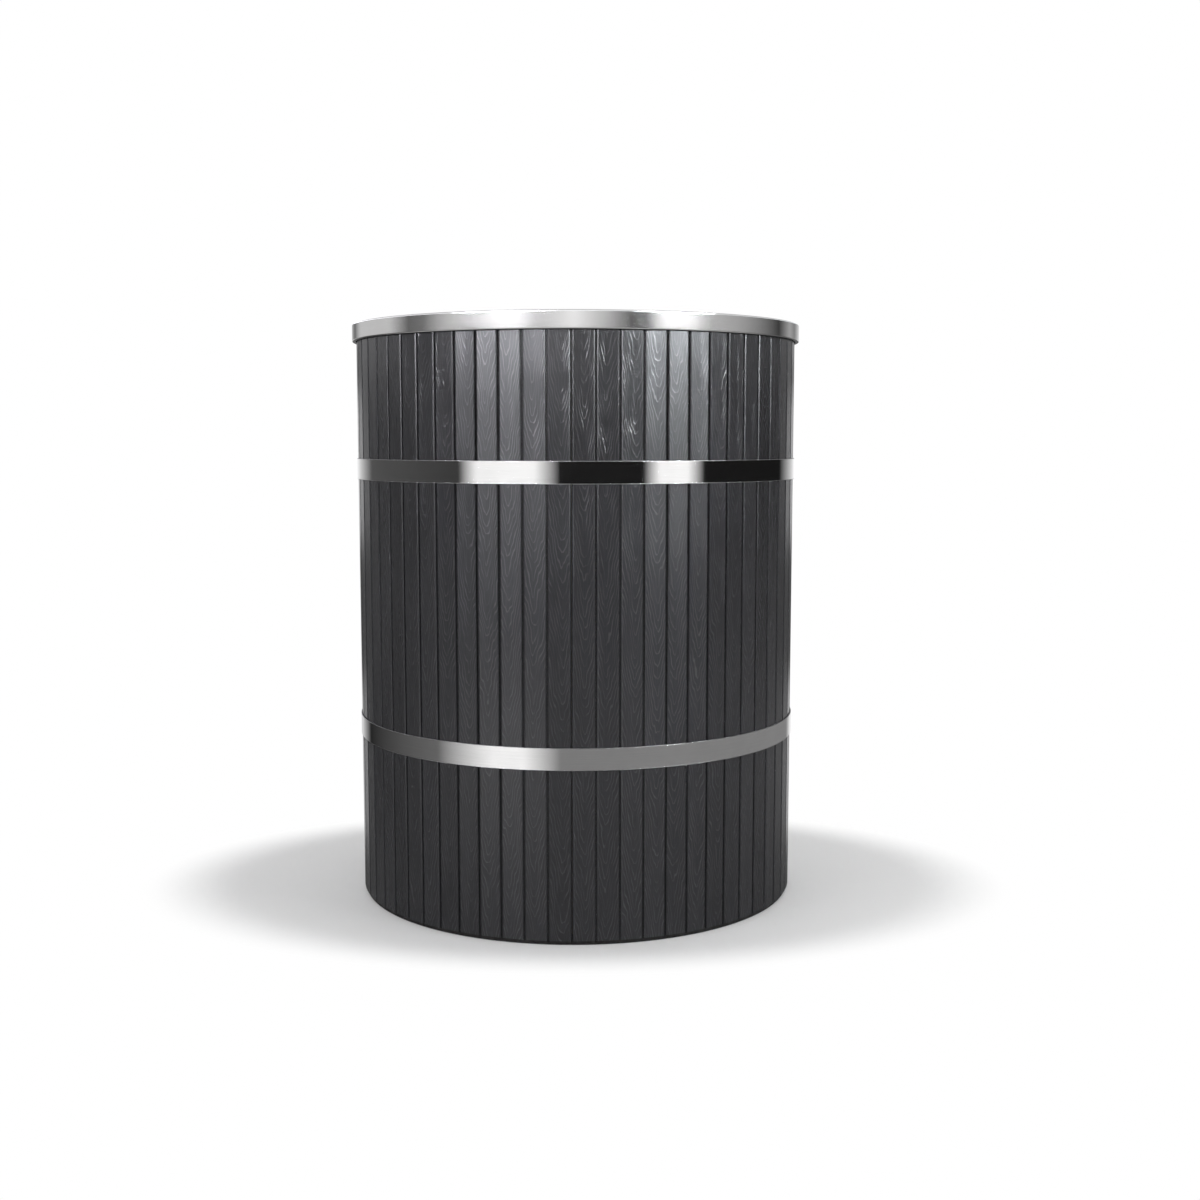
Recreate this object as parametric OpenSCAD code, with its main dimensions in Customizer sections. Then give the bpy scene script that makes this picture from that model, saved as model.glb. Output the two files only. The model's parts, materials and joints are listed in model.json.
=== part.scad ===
// Barrel cold plunge tub: a stainless vessel in foam, cased in staves that two bands hold.
// Millimetres, +Z up, origin on the floor under the axis. The front faces -Y, the valves +Y.

/* [Barrel] */
// Height from the floor to the top of the rim
tub_h = 1060; // [900:10:1200]
// Thickness of a stave
stave_t = 20; // [16:1:22]
// Staves in each of the nine panels
staves_per_panel = 7; // [5:2:9]
// Gap between neighbouring staves
stave_gap = 0.5; // [0.3:0.1:1]
// Chamfer along the long outer edges of a stave
stave_chamfer = 1.7; // [0.6:0.1:2.4]
// How far each side of a stave's face is cut back, which opens the groove between two staves
stave_rebate_w = 1.4; // [0.5:0.1:2]
// Depth of that cut, from the stave's face
stave_rebate_d = 4.5; // [3:0.5:8]

/* [Base] */
// Thickness of the rubber mat that the tub stands on
base_mat_t = 7.5; // [4:0.5:9]
// How far the mat stands back from the staves' faces
base_mat_inset = 3.5; // [2:0.5:10]
// Thickness of the plate on the mat
base_plate_t = 6; // [4:0.5:10]
// Thickness of the foam under the vessel
base_foam_t = 54; // [54:1:70]

/* [Vessel] */
// Inner radius of the vessel
vessel_r = 360; // [300:1:420]
// Thickness of the foam between the vessel and the staves
jacket_t = 25.9; // [22:0.1:40]
// Thickness of the vessel's sheet
sheet_t = 2; // [1.5:0.1:3]
// How far the vessel's top flange stands back from the staves' faces
flange_inset = 4.5; // [3:0.5:8]

/* [Rim] */
// Thickness of the rim cap's sheet
rim_sheet_t = 1.5; // [1:0.1:2]
// How far the rim cap stands out past the staves' faces
rim_overhang = 8; // [6.5:0.5:12]
// Height of the rim cap's outer skirt
rim_skirt_h = 31; // [20:1:45]
// Radius of the rim cap's rounded edges
rim_edge_r = 5.5; // [3:0.5:8]
// Height of the lip that goes down inside the vessel
rim_lip_h = 22; // [15:1:40]
// Gap between the rim cap's return flange and the staves
rim_return_gap = 1.2; // [0.6:0.1:2]
// Thickness of the gasket between the vessel's flange and the rim cap
rim_gasket_t = 6.5; // [4:0.5:10]
// Radial width of the rim gasket
rim_gasket_w = 34; // [20:1:36]

/* [Bands] */
// Height of the lower band's middle
lower_band_z = 320; // [300:5:400]
// Height of the upper band's middle
upper_band_z = 797; // [700:5:850]
// Width of a band
band_w = 38; // [25:1:50]
// Thickness of a band
band_t = 1.5; // [1:0.1:2.5]
// Gap between the two ends of a band
band_gap = 12; // [8:1:20]
// How far a band's ears stand out
ear_l = 24; // [20:1:35]
// Thickness of an ear
ear_t = 3; // [2:0.5:5]
// Radius of a band bolt's shank
bolt_r = 4; // [3:0.5:5]
// Width of the bolt's head and nut across their flats
bolt_af = 13; // [11:0.5:16]
// Height of the bolt's head
bolt_head_h = 5.3; // [4:0.1:7]
// Height of the bolt's nut
bolt_nut_h = 6.5; // [4:0.1:8]
// Radius of the bolt's washers
washer_r = 8; // [6:0.5:9]
// Thickness of a washer
washer_t = 1.6; // [1:0.1:2.5]
// Length of shank that stands out of the nut
bolt_end = 4; // [2:0.5:8]

/* [Seat] */
// Height of the seat above the vessel's floor
seat_h = 400; // [300:10:450]
// Depth of the seat from its front edge to the vessel's wall
seat_depth = 210; // [140:5:230]
// Depth of the fold along the seat's front edge
seat_fold_h = 40; // [25:1:60]
// Distance of a seat bracket from the seat's middle line
bracket_side = 150; // [100:5:180]
// Height of a seat bracket
bracket_h = 140; // [80:5:200]
// Depth of the low, front end of a seat bracket
bracket_nose_h = 30; // [20:1:50]
// Thickness of a seat bracket
bracket_t = 3; // [2:0.5:5]
// Radius of the seat's drain holes
seat_hole_r = 6; // [4:0.5:8]
// Distance between the seat's drain holes
seat_hole_step = 80; // [50:5:90]

/* [Water lines] */
// Outer radius of the one-inch pipe and threads
thread_r = 16.7; // [15:0.1:18]
// Radius of the bore through fittings and valves
bore_r = 12.5; // [9:0.5:12.5]
// Height of the return port
return_z = 620; // [560:5:680]
// Height of the suction port
suction_z = 215; // [140:5:225]
// Staves between the drain and the two ports
port_staves = 5; // [5:1:7]
// Radius of a wall fitting's inner flange
fitting_flange_r = 32; // [26:1:36]
// Thickness of a wall fitting's inner flange
fitting_flange_t = 5; // [3:0.5:8]
// Least thickness of the gasket behind that flange
fitting_gasket_t = 2; // [1.5:0.5:4]
// Height of the lock nut outside the staves
locknut_h = 12; // [9:1:16]
// Width of the lock nut across its flats
locknut_af = 46; // [42:1:54]
// Radius of the lock nut's collar
locknut_collar_r = 30; // [26:1:34]
// Thickness of the lock nut's collar, and of the drain's cover plate
locknut_collar_t = 4; // [2:0.5:6]
// Radius of the drain's cover plate
cover_plate_r = 25; // [22:0.5:26]
// Height of the suction grille over its fitting
grille_h = 9; // [6:1:15]
// Wall of the suction grille
grille_t = 3; // [2:0.5:4]
// Width of the slots in the grille and the strainer
slot_w = 5; // [3:0.5:6]
// Distance between neighbouring slots
slot_step = 9; // [7:0.5:12]

/* [Valves] */
// Length of a ball valve's body
valve_l = 66; // [66:1:84]
// Radius of the valve body's round middle
valve_r = 24; // [22:0.5:28]
// Width of the valve's ends across their flats
valve_af = 42; // [41:1:50]
// Length of a hexagonal end
valve_end_l = 14; // [13:0.5:20]
// Depth of the thread socket in each end
socket_l = 12; // [8:0.5:12]
// Radius of the ball
ball_r = 18; // [17:0.5:18.5]
// Radius of the stem
stem_r = 5; // [4:0.5:6]
// Radius of the stem's boss on the body
boss_r = 9; // [8:0.5:12]
// Height of that boss above the flow axis
boss_h = 33; // [29:1:40]
// Length of the lever from the stem's axis
lever_l = 105; // [85:1:130]
// Width of the lever
lever_w = 20; // [16:1:24]
// Thickness of the lever
lever_t = 3; // [2:0.5:4]
// Radius of the lever's round end on the stem
lever_hub_r = 12; // [9.5:0.5:16]
// How far the lever's handle steps up
lever_rise = 12; // [6:1:20]
// Length of the lever's flat part before the step
lever_flat_l = 18; // [16:1:24]
// Length of the step, measured along the lever
lever_step_l = 16; // [8:1:20]
// Length of the grip
grip_l = 62; // [40:1:65]
// Wall of the grip
grip_t = 1.8; // [1:0.1:3]
// Height of the lever's nut
stem_nut_h = 5; // [3:0.5:8]
// Width of the lever's nut across its flats
stem_nut_af = 15; // [14:0.5:20]
// Length of stem that stands out of its nut
stem_end = 2.5; // [1:0.5:5]

/* [Hose tails and drain] */
// Outer radius of a hose tail
tail_r = 13; // [11.5:0.5:14.5]
// Bore radius of a hose tail
tail_bore_r = 9.5; // [6:0.5:10]
// Length of the hose tail's plain stretch
tail_plain_l = 18; // [12:1:30]
// Length of one barb
barb_l = 7; // [4:0.5:10]
// Number of barbs
barb_count = 3; // [2:1:4]
// Depth of the step behind a barb
barb_step = 0.9; // [0.5:0.1:1.5]
// Width of the tails' hexagon across its flats
tail_af = 38; // [36:1:44]
// Length of that hexagon
tail_hex_l = 9; // [6:0.5:14]
// Distance from the vessel's wall to the drain's middle
drain_inset = 130; // [100:5:180]
// Radius of the recess in the vessel's floor
recess_r = 46; // [44:1:55]
// Depth of that recess
recess_h = 8; // [7:0.5:10]
// Radius of the drain's throat
throat_r = 20; // [14:0.5:20]
// Wall of the drain flange's spigot
spigot_t = 3.6; // [2:0.2:3.6]
// Length of that spigot
spigot_l = 11; // [6:0.5:14]
// Thickness of the drain flange
drain_flange_t = 3; // [2:0.5:3.5]
// Thickness of the drain gasket
drain_gasket_t = 2; // [1:0.5:3]
// Outer radius of the drain cup
cup_r = 34; // [31:0.5:38]
// Thickness of the drain cup's bottom
cup_floor_t = 4; // [4:0.5:5]
// Length of the cup's side outlet, past the cup
cup_outlet_l = 18; // [12:1:25]
// Wall of the cup's side outlet
cup_outlet_t = 3.5; // [2.5:0.5:3.5]
// Thickness of the lift-out strainer
strainer_t = 3; // [2:0.5:4]
// Radius of the strainer's lifting knob
knob_r = 5; // [4:0.5:8]
// Height of that knob
knob_h = 9; // [6:0.5:12]
// Radius of the drain spout's threaded nose
spout_r = 13.2; // [12:0.1:15]
// Length of that nose
spout_l = 16; // [10:1:22]
// Wall of the drain's screw cap
cap_t = 3.5; // [2.5:0.5:5]

/* [Fits] */
// Clearance between parts that stand side by side
seat_clear = 0.3; // [0.1:0.1:0.5]
// Radial clearance of a thread or a plain fit
fit_clear = 0.1; // [0.05:0.05:0.2]
// Radial clearance of a turning stem
stem_clear = 0.06; // [0.02:0.02:0.1]
// Radial clearance of a pipe's hole through staves, foam and sheet
pipe_clear = 1.3; // [0.6:0.1:2]
// Gap between the end of a screwed part and its stop
end_gap = 0.5; // [0.3:0.1:1]

/* [Hidden] */
panel_count = 9;
stave_count = panel_count * staves_per_panel;
stave_angle = 360 / stave_count;
stave_back_r = vessel_r + sheet_t + jacket_t + 2 * seat_clear;
stave_face_r = stave_back_r + stave_t;
front = -90;
back = 90;
half_outer_w = stave_face_r * tan(stave_angle / 2) - stave_gap / 2;
half_inner_w = stave_back_r * tan(stave_angle / 2) - stave_gap / 2;
stave_rebate_r = stave_face_r - stave_rebate_d;
half_rebate_w = stave_rebate_r * tan(stave_angle / 2) - stave_gap / 2;
half_face_w = half_outer_w - stave_rebate_w;
stave_corner_r = norm([stave_face_r, half_face_w - stave_chamfer]);
overrun = sheet_t;
mid_share = 1 / 2;

foam_bottom_z = base_mat_t + base_plate_t;
floor_z = foam_bottom_z + base_foam_t;
floor_top_z = floor_z + sheet_t;
flange_top_z = tub_h - rim_sheet_t - rim_gasket_t;
stave_top_z = flange_top_z - sheet_t;
flange_r = stave_face_r - flange_inset;
base_mat_r = stave_face_r - base_mat_inset;
rim_r = stave_face_r + rim_overhang;
rim_inner_r = vessel_r - end_gap - rim_sheet_t;
rim_gasket_r = flange_r - seat_clear;
rim_return_r = stave_corner_r + rim_return_gap;

band_inner_r = stave_corner_r + seat_clear;
band_outer_r = band_inner_r + band_t;
band_levels = [lower_band_z, upper_band_z];
bolt_x = band_outer_r + ear_l * mid_share;
ear_y = band_gap / 2 + ear_t;
ear_hole_r = bolt_r + seat_clear;

seat_top_z = floor_top_z + seat_h;
seat_front = vessel_r - seat_depth;
seat_rim_r = vessel_r - seat_clear;
seat_holes = 5;

socket_r = thread_r + fit_clear;
line_pipe_z = foam_bottom_z + end_gap + cup_floor_t + socket_r;

lines = ["return", "suction", "drain"];
port_angle = back + port_staves * stave_angle;
line_angles = [port_angle, port_angle, back];
line_levels = [return_z, suction_z, line_pipe_z];
// The return and suction valves rest open, and the drain's valve rests closed
line_turns = [0, 0, -90];
drain = 2;
hole_r = thread_r + pipe_clear;
valve_x = stave_face_r + locknut_h + end_gap;
valve_mid = valve_l * mid_share;
pipe_end_x = valve_x + socket_l - end_gap;
fitting_x = sqrt(pow(vessel_r, 2) - pow(fitting_flange_r, 2)) - fitting_gasket_t;
hex_share = 1 / cos(180 / 6);
lever_z = boss_h + seat_clear;
stem_nut_z = lever_z + lever_t;
stem_top_z = stem_nut_z + stem_nut_h + stem_end;
stem_foot_z = ball_r * 3 / 4;
grip_x = lever_l + grip_t - grip_l;
tail_x = valve_x + valve_l;
tail_thread_l = socket_l - end_gap;
nose_x = tail_x + tail_hex_l;

drain_offset = vessel_r - drain_inset;
recess_bottom_z = floor_z - recess_h;
recess_top_z = recess_bottom_z + sheet_t;
drain_flange_r = recess_r - seat_clear;
throat_hole_r = throat_r + spigot_t + seat_clear;
cup_top_z = recess_bottom_z - drain_gasket_t;
cup_bottom_z = line_pipe_z - socket_r - cup_floor_t;
strainer_z = recess_top_z + drain_flange_t;

$fn = 96;

// A plain ring between two radii and two heights
module ring(inner, outer, low, high) {
    difference() {
        translate([0, 0, low]) cylinder(r = outer, h = high - low);
        translate([0, 0, low - overrun]) cylinder(r = inner, h = high - low + 2 * overrun);
    }
}

// A hexagonal prism on Z, given its width across flats
module hexagon(af, h) {
    cylinder(r = af / 2 * hex_share, h = h, $fn = 6);
}

// A round bar along X, from one place to another
module bar(r, from, to) {
    translate([from, 0, 0]) rotate([0, 90, 0]) cylinder(r = r, h = to - from);
}

// A hexagonal bar along X
module hex_bar(af, from, to) {
    translate([from, 0, 0]) rotate([0, 90, 0]) hexagon(af, to - from);
}

// Turns X outwards along a water line, at that line's height
module on_line(i) {
    rotate([0, 0, line_angles[i]]) translate([0, 0, line_levels[i]]) children();
}

// The frame of a valve's turning pieces, centred on its stem and turned to its rest
module on_stem(i) {
    on_line(i) translate([valve_x + valve_mid, 0, 0]) rotate([0, 0, line_turns[i]]) children();
}

// The frame of the drain in the vessel's floor
module on_drain() {
    rotate([0, 0, line_angles[drain]]) translate([drain_offset, 0, 0]) children();
}

// The holes that the three lines make on their way out
module line_holes(from) {
    for (i = [0 : len(lines) - 1])
        on_line(i) bar(hole_r, from, stave_face_r + overrun);
}

module base_mat() {
    color([0.05, 0.045, 0.04]) cylinder(r = base_mat_r, h = base_mat_t);
}

module base_plate() {
    color([0.1, 0.1, 0.1]) translate([0, 0, base_mat_t])
        cylinder(r = stave_back_r - seat_clear, h = base_plate_t);
}

module base_foam() {
    channel_r = socket_r + cup_outlet_t + seat_clear;
    color([0.9, 0.86, 0.7]) difference() {
        translate([0, 0, foam_bottom_z]) cylinder(r = stave_back_r - seat_clear, h = base_foam_t);
        on_drain() translate([0, 0, foam_bottom_z - overrun])
            cylinder(r = recess_r + sheet_t + seat_clear, h = base_foam_t + 2 * overrun);
        on_line(drain) bar(channel_r, drain_offset, stave_face_r);
        on_drain() translate([0, -channel_r, foam_bottom_z - overrun])
            cube([stave_face_r, 2 * channel_r, line_pipe_z - foam_bottom_z + overrun]);
    }
}

module vessel_floor() {
    color([0.75, 0.76, 0.77]) {
        difference() {
            union() {
                translate([0, 0, floor_z]) cylinder(r = vessel_r + sheet_t, h = sheet_t);
                on_drain() translate([0, 0, recess_bottom_z])
                    cylinder(r = recess_r + sheet_t, h = recess_h + sheet_t);
            }
            on_drain() translate([0, 0, recess_top_z]) cylinder(r = recess_r, h = recess_h + overrun);
            on_drain() translate([0, 0, recess_bottom_z - overrun])
                cylinder(r = throat_hole_r, h = sheet_t + 2 * overrun);
        }
    }
}

module vessel_wall() {
    color([0.75, 0.76, 0.77]) difference() {
        union() {
            translate([0, 0, floor_top_z])
                cylinder(r = vessel_r + sheet_t, h = flange_top_z - floor_top_z);
            translate([0, 0, stave_top_z]) cylinder(r = flange_r, h = sheet_t);
        }
        translate([0, 0, floor_top_z - overrun])
            cylinder(r = vessel_r, h = flange_top_z - floor_top_z + 2 * overrun);
        line_holes(vessel_r - fitting_flange_r);
    }
}

module foam_jacket() {
    color([0.9, 0.86, 0.7]) difference() {
        ring(vessel_r + sheet_t + seat_clear, stave_back_r - seat_clear, floor_z, stave_top_z);
        line_holes(vessel_r - fitting_flange_r);
    }
}

module rim_gasket() {
    color([0.06, 0.06, 0.06])
        ring(rim_gasket_r - rim_gasket_w, rim_gasket_r, flange_top_z, flange_top_z + rim_gasket_t);
}

// Section of the rim cap's outside or inside face: a block with both upper corners rounded
module rim_block(inner, outer, top, corner) {
    translate([inner, tub_h - rim_skirt_h]) square([outer - inner, top - corner - tub_h + rim_skirt_h]);
    translate([inner + corner, top - 2 * corner]) square([outer - inner - 2 * corner, 2 * corner]);
    translate([inner + corner, top - corner]) circle(r = corner);
    translate([outer - corner, top - corner]) circle(r = corner);
}

module rim_cap() {
    inner_corner = rim_edge_r - rim_sheet_t;
    color([0.78, 0.78, 0.79]) rotate_extrude() {
        difference() {
            rim_block(rim_inner_r, rim_r, tub_h, rim_edge_r);
            rim_block(rim_inner_r + rim_sheet_t, rim_r - rim_sheet_t, tub_h - rim_sheet_t, inner_corner);
            translate([rim_inner_r - overrun, tub_h - rim_skirt_h - overrun])
                square([rim_sheet_t + 2 * overrun, rim_skirt_h - rim_lip_h + overrun]);
        }
        translate([rim_return_r, tub_h - rim_skirt_h]) square([rim_r - rim_return_r, rim_sheet_t]);
    }
}

// Section of one stave, its outer face on +X: the face is cut back at both sides and chamfered
module stave_section() {
    polygon([[stave_back_r, -half_inner_w], [stave_rebate_r, -half_rebate_w],
        [stave_rebate_r, -half_face_w], [stave_face_r - stave_chamfer, -half_face_w],
        [stave_face_r, stave_chamfer - half_face_w], [stave_face_r, half_face_w - stave_chamfer],
        [stave_face_r - stave_chamfer, half_face_w], [stave_rebate_r, half_face_w],
        [stave_rebate_r, half_rebate_w], [stave_back_r, half_inner_w]]);
}

// Nine panels of staves, counted from the front towards +X, with a joint at the very front
module stave_panel(panel) {
    color([0.2, 0.2, 0.22]) difference() {
        for (i = [0 : staves_per_panel - 1])
            rotate([0, 0, front + stave_angle * (mid_share + i + (panel - 1) * staves_per_panel)])
                translate([0, 0, base_mat_t])
                    linear_extrude(height = stave_top_z - base_mat_t) stave_section();
        line_holes(stave_back_r - overrun);
    }
}

// Turns X to the place where a band's two ends meet
module on_band_gap(level) {
    rotate([0, 0, back - port_staves * stave_angle]) translate([0, 0, level]) children();
}

module band(level) {
    ear_end = band_outer_r + ear_l;
    color([0.78, 0.78, 0.79]) on_band_gap(level - band_w / 2) difference() {
        union() {
            ring(band_inner_r, band_outer_r, 0, band_w);
            translate([band_inner_r + band_t / 2, -ear_y, 0])
                cube([ear_end - band_inner_r - band_t / 2, 2 * ear_y, band_w]);
        }
        translate([stave_back_r, -band_gap / 2, -overrun])
            cube([ear_end - stave_back_r + overrun, band_gap, band_w + 2 * overrun]);
        translate([bolt_x, 0, band_w / 2]) rotate([90, 0, 0])
            cylinder(r = ear_hole_r, h = 2 * ear_y + 2 * overrun, center = true);
    }
}

// Puts the bolt's axis on Z, with zero halfway between the ears
module on_bolts() {
    for (level = band_levels)
        on_band_gap(level) translate([bolt_x, 0, 0]) rotate([90, 0, 0]) children();
}

module band_bolts() {
    shank_end = ear_y + washer_t + bolt_nut_h + bolt_end;
    color([0.7, 0.7, 0.7]) on_bolts() {
        translate([0, 0, -shank_end]) cylinder(r = bolt_r, h = shank_end + ear_y + washer_t);
        translate([0, 0, ear_y + washer_t]) hexagon(bolt_af, bolt_head_h);
    }
}

module band_washers() {
    color([0.7, 0.7, 0.7]) on_bolts()
        for (side = [0, 1])
            mirror([0, 0, side]) ring(bolt_r + fit_clear, washer_r, ear_y, ear_y + washer_t);
}

module band_nuts() {
    color([0.7, 0.7, 0.7]) on_bolts() mirror([0, 0, 1]) difference() {
        translate([0, 0, ear_y + washer_t]) hexagon(bolt_af, bolt_nut_h);
        cylinder(r = bolt_r + fit_clear, h = ear_y + washer_t + bolt_nut_h + overrun);
    }
}

module bench_seat() {
    color([0.75, 0.76, 0.77]) difference() {
        intersection() {
            translate([0, 0, seat_top_z - seat_fold_h]) cylinder(r = seat_rim_r, h = seat_fold_h);
            translate([seat_front, -vessel_r, seat_top_z - seat_fold_h])
                cube([vessel_r, 2 * vessel_r, seat_fold_h]);
        }
        translate([seat_front + sheet_t, -vessel_r, seat_top_z - seat_fold_h - overrun])
            cube([vessel_r, 2 * vessel_r, seat_fold_h + overrun - sheet_t]);
        for (i = [0 : seat_holes - 1])
            translate([(seat_front + seat_rim_r) / 2, (i - (seat_holes - 1) / 2) * seat_hole_step,
                seat_top_z - sheet_t - overrun])
                cylinder(r = seat_hole_r, h = sheet_t + 2 * overrun);
    }
}

module seat_brackets() {
    back_x = sqrt(pow(seat_rim_r, 2) - pow(bracket_side + bracket_t / 2, 2));
    top = seat_top_z - sheet_t;
    color([0.7, 0.71, 0.72])
        for (side = [-1, 1])
            translate([0, side * bracket_side + bracket_t / 2, 0]) rotate([90, 0, 0])
                linear_extrude(height = bracket_t)
                    polygon([[seat_front + sheet_t + seat_clear, top], [back_x, top],
                        [back_x, top - bracket_h],
                        [seat_front + sheet_t + seat_clear, top - bracket_nose_h]]);
}

// Equal slots side by side along Y, cut down through Z
module slots(reach, low, high) {
    count = floor((reach - slot_w) / slot_step);
    for (i = [-count : count])
        translate([-sqrt(pow(reach, 2) - pow(abs(i) * slot_step + slot_w / 2, 2)),
            i * slot_step - slot_w / 2, low])
            cube([2 * sqrt(pow(reach, 2) - pow(abs(i) * slot_step + slot_w / 2, 2)), slot_w, high - low]);
}

module drain_flange() {
    color([0.75, 0.76, 0.77]) on_drain() difference() {
        union() {
            translate([0, 0, recess_top_z]) cylinder(r = drain_flange_r, h = drain_flange_t);
            translate([0, 0, recess_top_z - spigot_l]) cylinder(r = throat_r + spigot_t, h = spigot_l);
        }
        translate([0, 0, recess_top_z - spigot_l - overrun])
            cylinder(r = throat_r, h = spigot_l + drain_flange_t + 2 * overrun);
    }
}

module drain_gasket() {
    color([0.06, 0.06, 0.06]) on_drain() ring(throat_hole_r, cup_r, cup_top_z, recess_bottom_z);
}

module drain_cup() {
    color([0.15, 0.15, 0.16]) on_drain() difference() {
        union() {
            translate([0, 0, cup_bottom_z]) cylinder(r = cup_r, h = cup_top_z - cup_bottom_z);
            translate([0, 0, line_pipe_z]) bar(socket_r + cup_outlet_t, 0, cup_r + cup_outlet_l);
        }
        translate([0, 0, cup_bottom_z + cup_floor_t]) cylinder(r = throat_hole_r, h = base_foam_t);
        translate([0, 0, line_pipe_z]) bar(bore_r, 0, cup_r + overrun);
        translate([0, 0, line_pipe_z]) bar(socket_r, cup_r, cup_r + cup_outlet_l + overrun);
    }
}

module drain_pipe() {
    color([0.75, 0.75, 0.75]) on_line(drain) difference() {
        bar(thread_r, drain_offset + cup_r + end_gap, pipe_end_x);
        bar(bore_r, drain_offset, pipe_end_x + overrun);
    }
}

module drain_cover_plate() {
    color([0.75, 0.76, 0.77]) on_line(drain) difference() {
        bar(cover_plate_r, stave_face_r, stave_face_r + locknut_collar_t);
        bar(socket_r, stave_back_r, valve_x);
    }
}

module drain_strainer() {
    color([0.7, 0.71, 0.72]) on_drain() {
        difference() {
            translate([0, 0, strainer_z]) cylinder(r = drain_flange_r - seat_clear, h = strainer_t);
            difference() {
                slots(drain_flange_r - slot_w, strainer_z - overrun, strainer_z + strainer_t + overrun);
                translate([0, 0, strainer_z - 2 * overrun])
                    cylinder(r = knob_r + spigot_t, h = strainer_t + 4 * overrun);
            }
        }
        translate([0, 0, strainer_z + strainer_t]) cylinder(r = knob_r, h = knob_h);
    }
}

module drain_spout() {
    color([0.75, 0.6, 0.35]) on_line(drain) difference() {
        union() {
            bar(thread_r, tail_x - tail_thread_l, tail_x);
            hex_bar(tail_af, tail_x, nose_x);
            bar(spout_r, nose_x, nose_x + spout_l);
        }
        bar(tail_bore_r, tail_x - socket_l, nose_x + spout_l + overrun);
    }
}

module drain_cap() {
    cap_x = nose_x + seat_clear;
    color([0.08, 0.08, 0.08]) on_line(drain) difference() {
        bar(spout_r + fit_clear + cap_t, cap_x, nose_x + spout_l + end_gap + cap_t);
        bar(spout_r + fit_clear, nose_x, nose_x + spout_l + end_gap);
    }
}

// Wall fitting: a flange inside the vessel and a threaded barrel out through the wall
module wall_fitting(i) {
    color([0.75, 0.76, 0.77]) on_line(i) difference() {
        union() {
            bar(fitting_flange_r, fitting_x - fitting_flange_t, fitting_x);
            bar(thread_r, fitting_x, pipe_end_x);
        }
        bar(bore_r, fitting_x - fitting_flange_t - overrun, pipe_end_x + overrun);
    }
}

module wall_gasket(i) {
    color([0.06, 0.06, 0.06]) intersection() {
        on_line(i) difference() {
            bar(fitting_flange_r - fitting_gasket_t, fitting_x, vessel_r);
            bar(socket_r, fitting_x - overrun, vessel_r + overrun);
        }
        translate([0, 0, line_levels[i] - fitting_flange_r])
            cylinder(r = vessel_r - fit_clear, h = 2 * fitting_flange_r, $fn = 8 * $fn);
    }
}

module locknut(i) {
    color([0.72, 0.73, 0.74]) on_line(i) difference() {
        union() {
            bar(locknut_collar_r, stave_face_r, stave_face_r + locknut_collar_t);
            hex_bar(locknut_af, stave_face_r, stave_face_r + locknut_h);
        }
        bar(socket_r, stave_back_r, valve_x);
    }
}

module suction_grille() {
    face_x = fitting_x - fitting_flange_t - grille_h;
    inner_r = fitting_flange_r + seat_clear;
    color([0.7, 0.71, 0.72]) on_line(1) difference() {
        bar(inner_r + grille_t, face_x - grille_t, fitting_x);
        bar(inner_r, face_x, fitting_x + overrun);
        rotate([0, 90, 0])
            slots(inner_r - slot_w, face_x - grille_t - overrun, face_x + overrun);
    }
}

// Hose tail: thread, hexagon, plain stretch and barbs that step down behind each ridge
module hose_tail(i) {
    color([0.75, 0.76, 0.77]) on_line(i) difference() {
        union() {
            bar(thread_r, tail_x - tail_thread_l, tail_x);
            hex_bar(tail_af, tail_x, nose_x);
            bar(tail_r, nose_x, nose_x + tail_plain_l);
            for (k = [0 : barb_count - 1])
                translate([nose_x + tail_plain_l + k * barb_l, 0, 0]) rotate([0, 90, 0])
                    cylinder(r1 = tail_r, r2 = tail_r - barb_step, h = barb_l);
        }
        bar(tail_bore_r, tail_x - socket_l, nose_x + tail_plain_l + barb_count * barb_l + overrun);
    }
}

module valve_body(i) {
    color([0.76, 0.76, 0.77]) on_line(i) translate([valve_x, 0, 0]) difference() {
        union() {
            hex_bar(valve_af, 0, valve_end_l);
            bar(valve_r, valve_end_l, valve_l - valve_end_l);
            hex_bar(valve_af, valve_l - valve_end_l, valve_l);
            translate([valve_mid, 0, 0]) cylinder(r = boss_r, h = boss_h);
        }
        bar(bore_r, -overrun, valve_l + overrun);
        bar(socket_r, -overrun, socket_l);
        bar(socket_r, valve_l - socket_l, valve_l + overrun);
        translate([valve_mid, 0, 0]) sphere(r = ball_r + seat_clear);
        translate([valve_mid, 0, 0]) cylinder(r = stem_r + stem_clear, h = boss_h + overrun);
    }
}

module valve_ball(i) {
    color([0.85, 0.85, 0.86]) on_stem(i) difference() {
        sphere(r = ball_r);
        bar(bore_r, -ball_r - overrun, ball_r + overrun);
        translate([0, 0, stem_foot_z]) cylinder(r = stem_r + fit_clear, h = ball_r);
    }
}

module valve_stem(i) {
    color([0.8, 0.8, 0.8]) on_stem(i) translate([0, 0, stem_foot_z + fit_clear])
        cylinder(r = stem_r, h = stem_top_z - stem_foot_z - fit_clear);
}

// The lever is a strip, cranked up from its round end towards the handle
module valve_lever(i) {
    color([0.72, 0.72, 0.73]) on_stem(i) difference() {
        union() {
            translate([0, 0, lever_z]) cylinder(r = lever_hub_r, h = lever_t);
            translate([0, lever_w / 2, lever_z]) rotate([90, 0, 0]) linear_extrude(height = lever_w)
                polygon([[0, 0], [lever_flat_l, 0], [lever_flat_l + lever_step_l, lever_rise],
                    [lever_l, lever_rise], [lever_l, lever_rise + lever_t],
                    [lever_flat_l + lever_step_l - lever_t / 2, lever_rise + lever_t],
                    [lever_flat_l - lever_t / 2, lever_t], [0, lever_t]]);
        }
        translate([0, 0, lever_z - overrun]) cylinder(r = stem_r + fit_clear, h = lever_t + 2 * overrun);
    }
}

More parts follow.
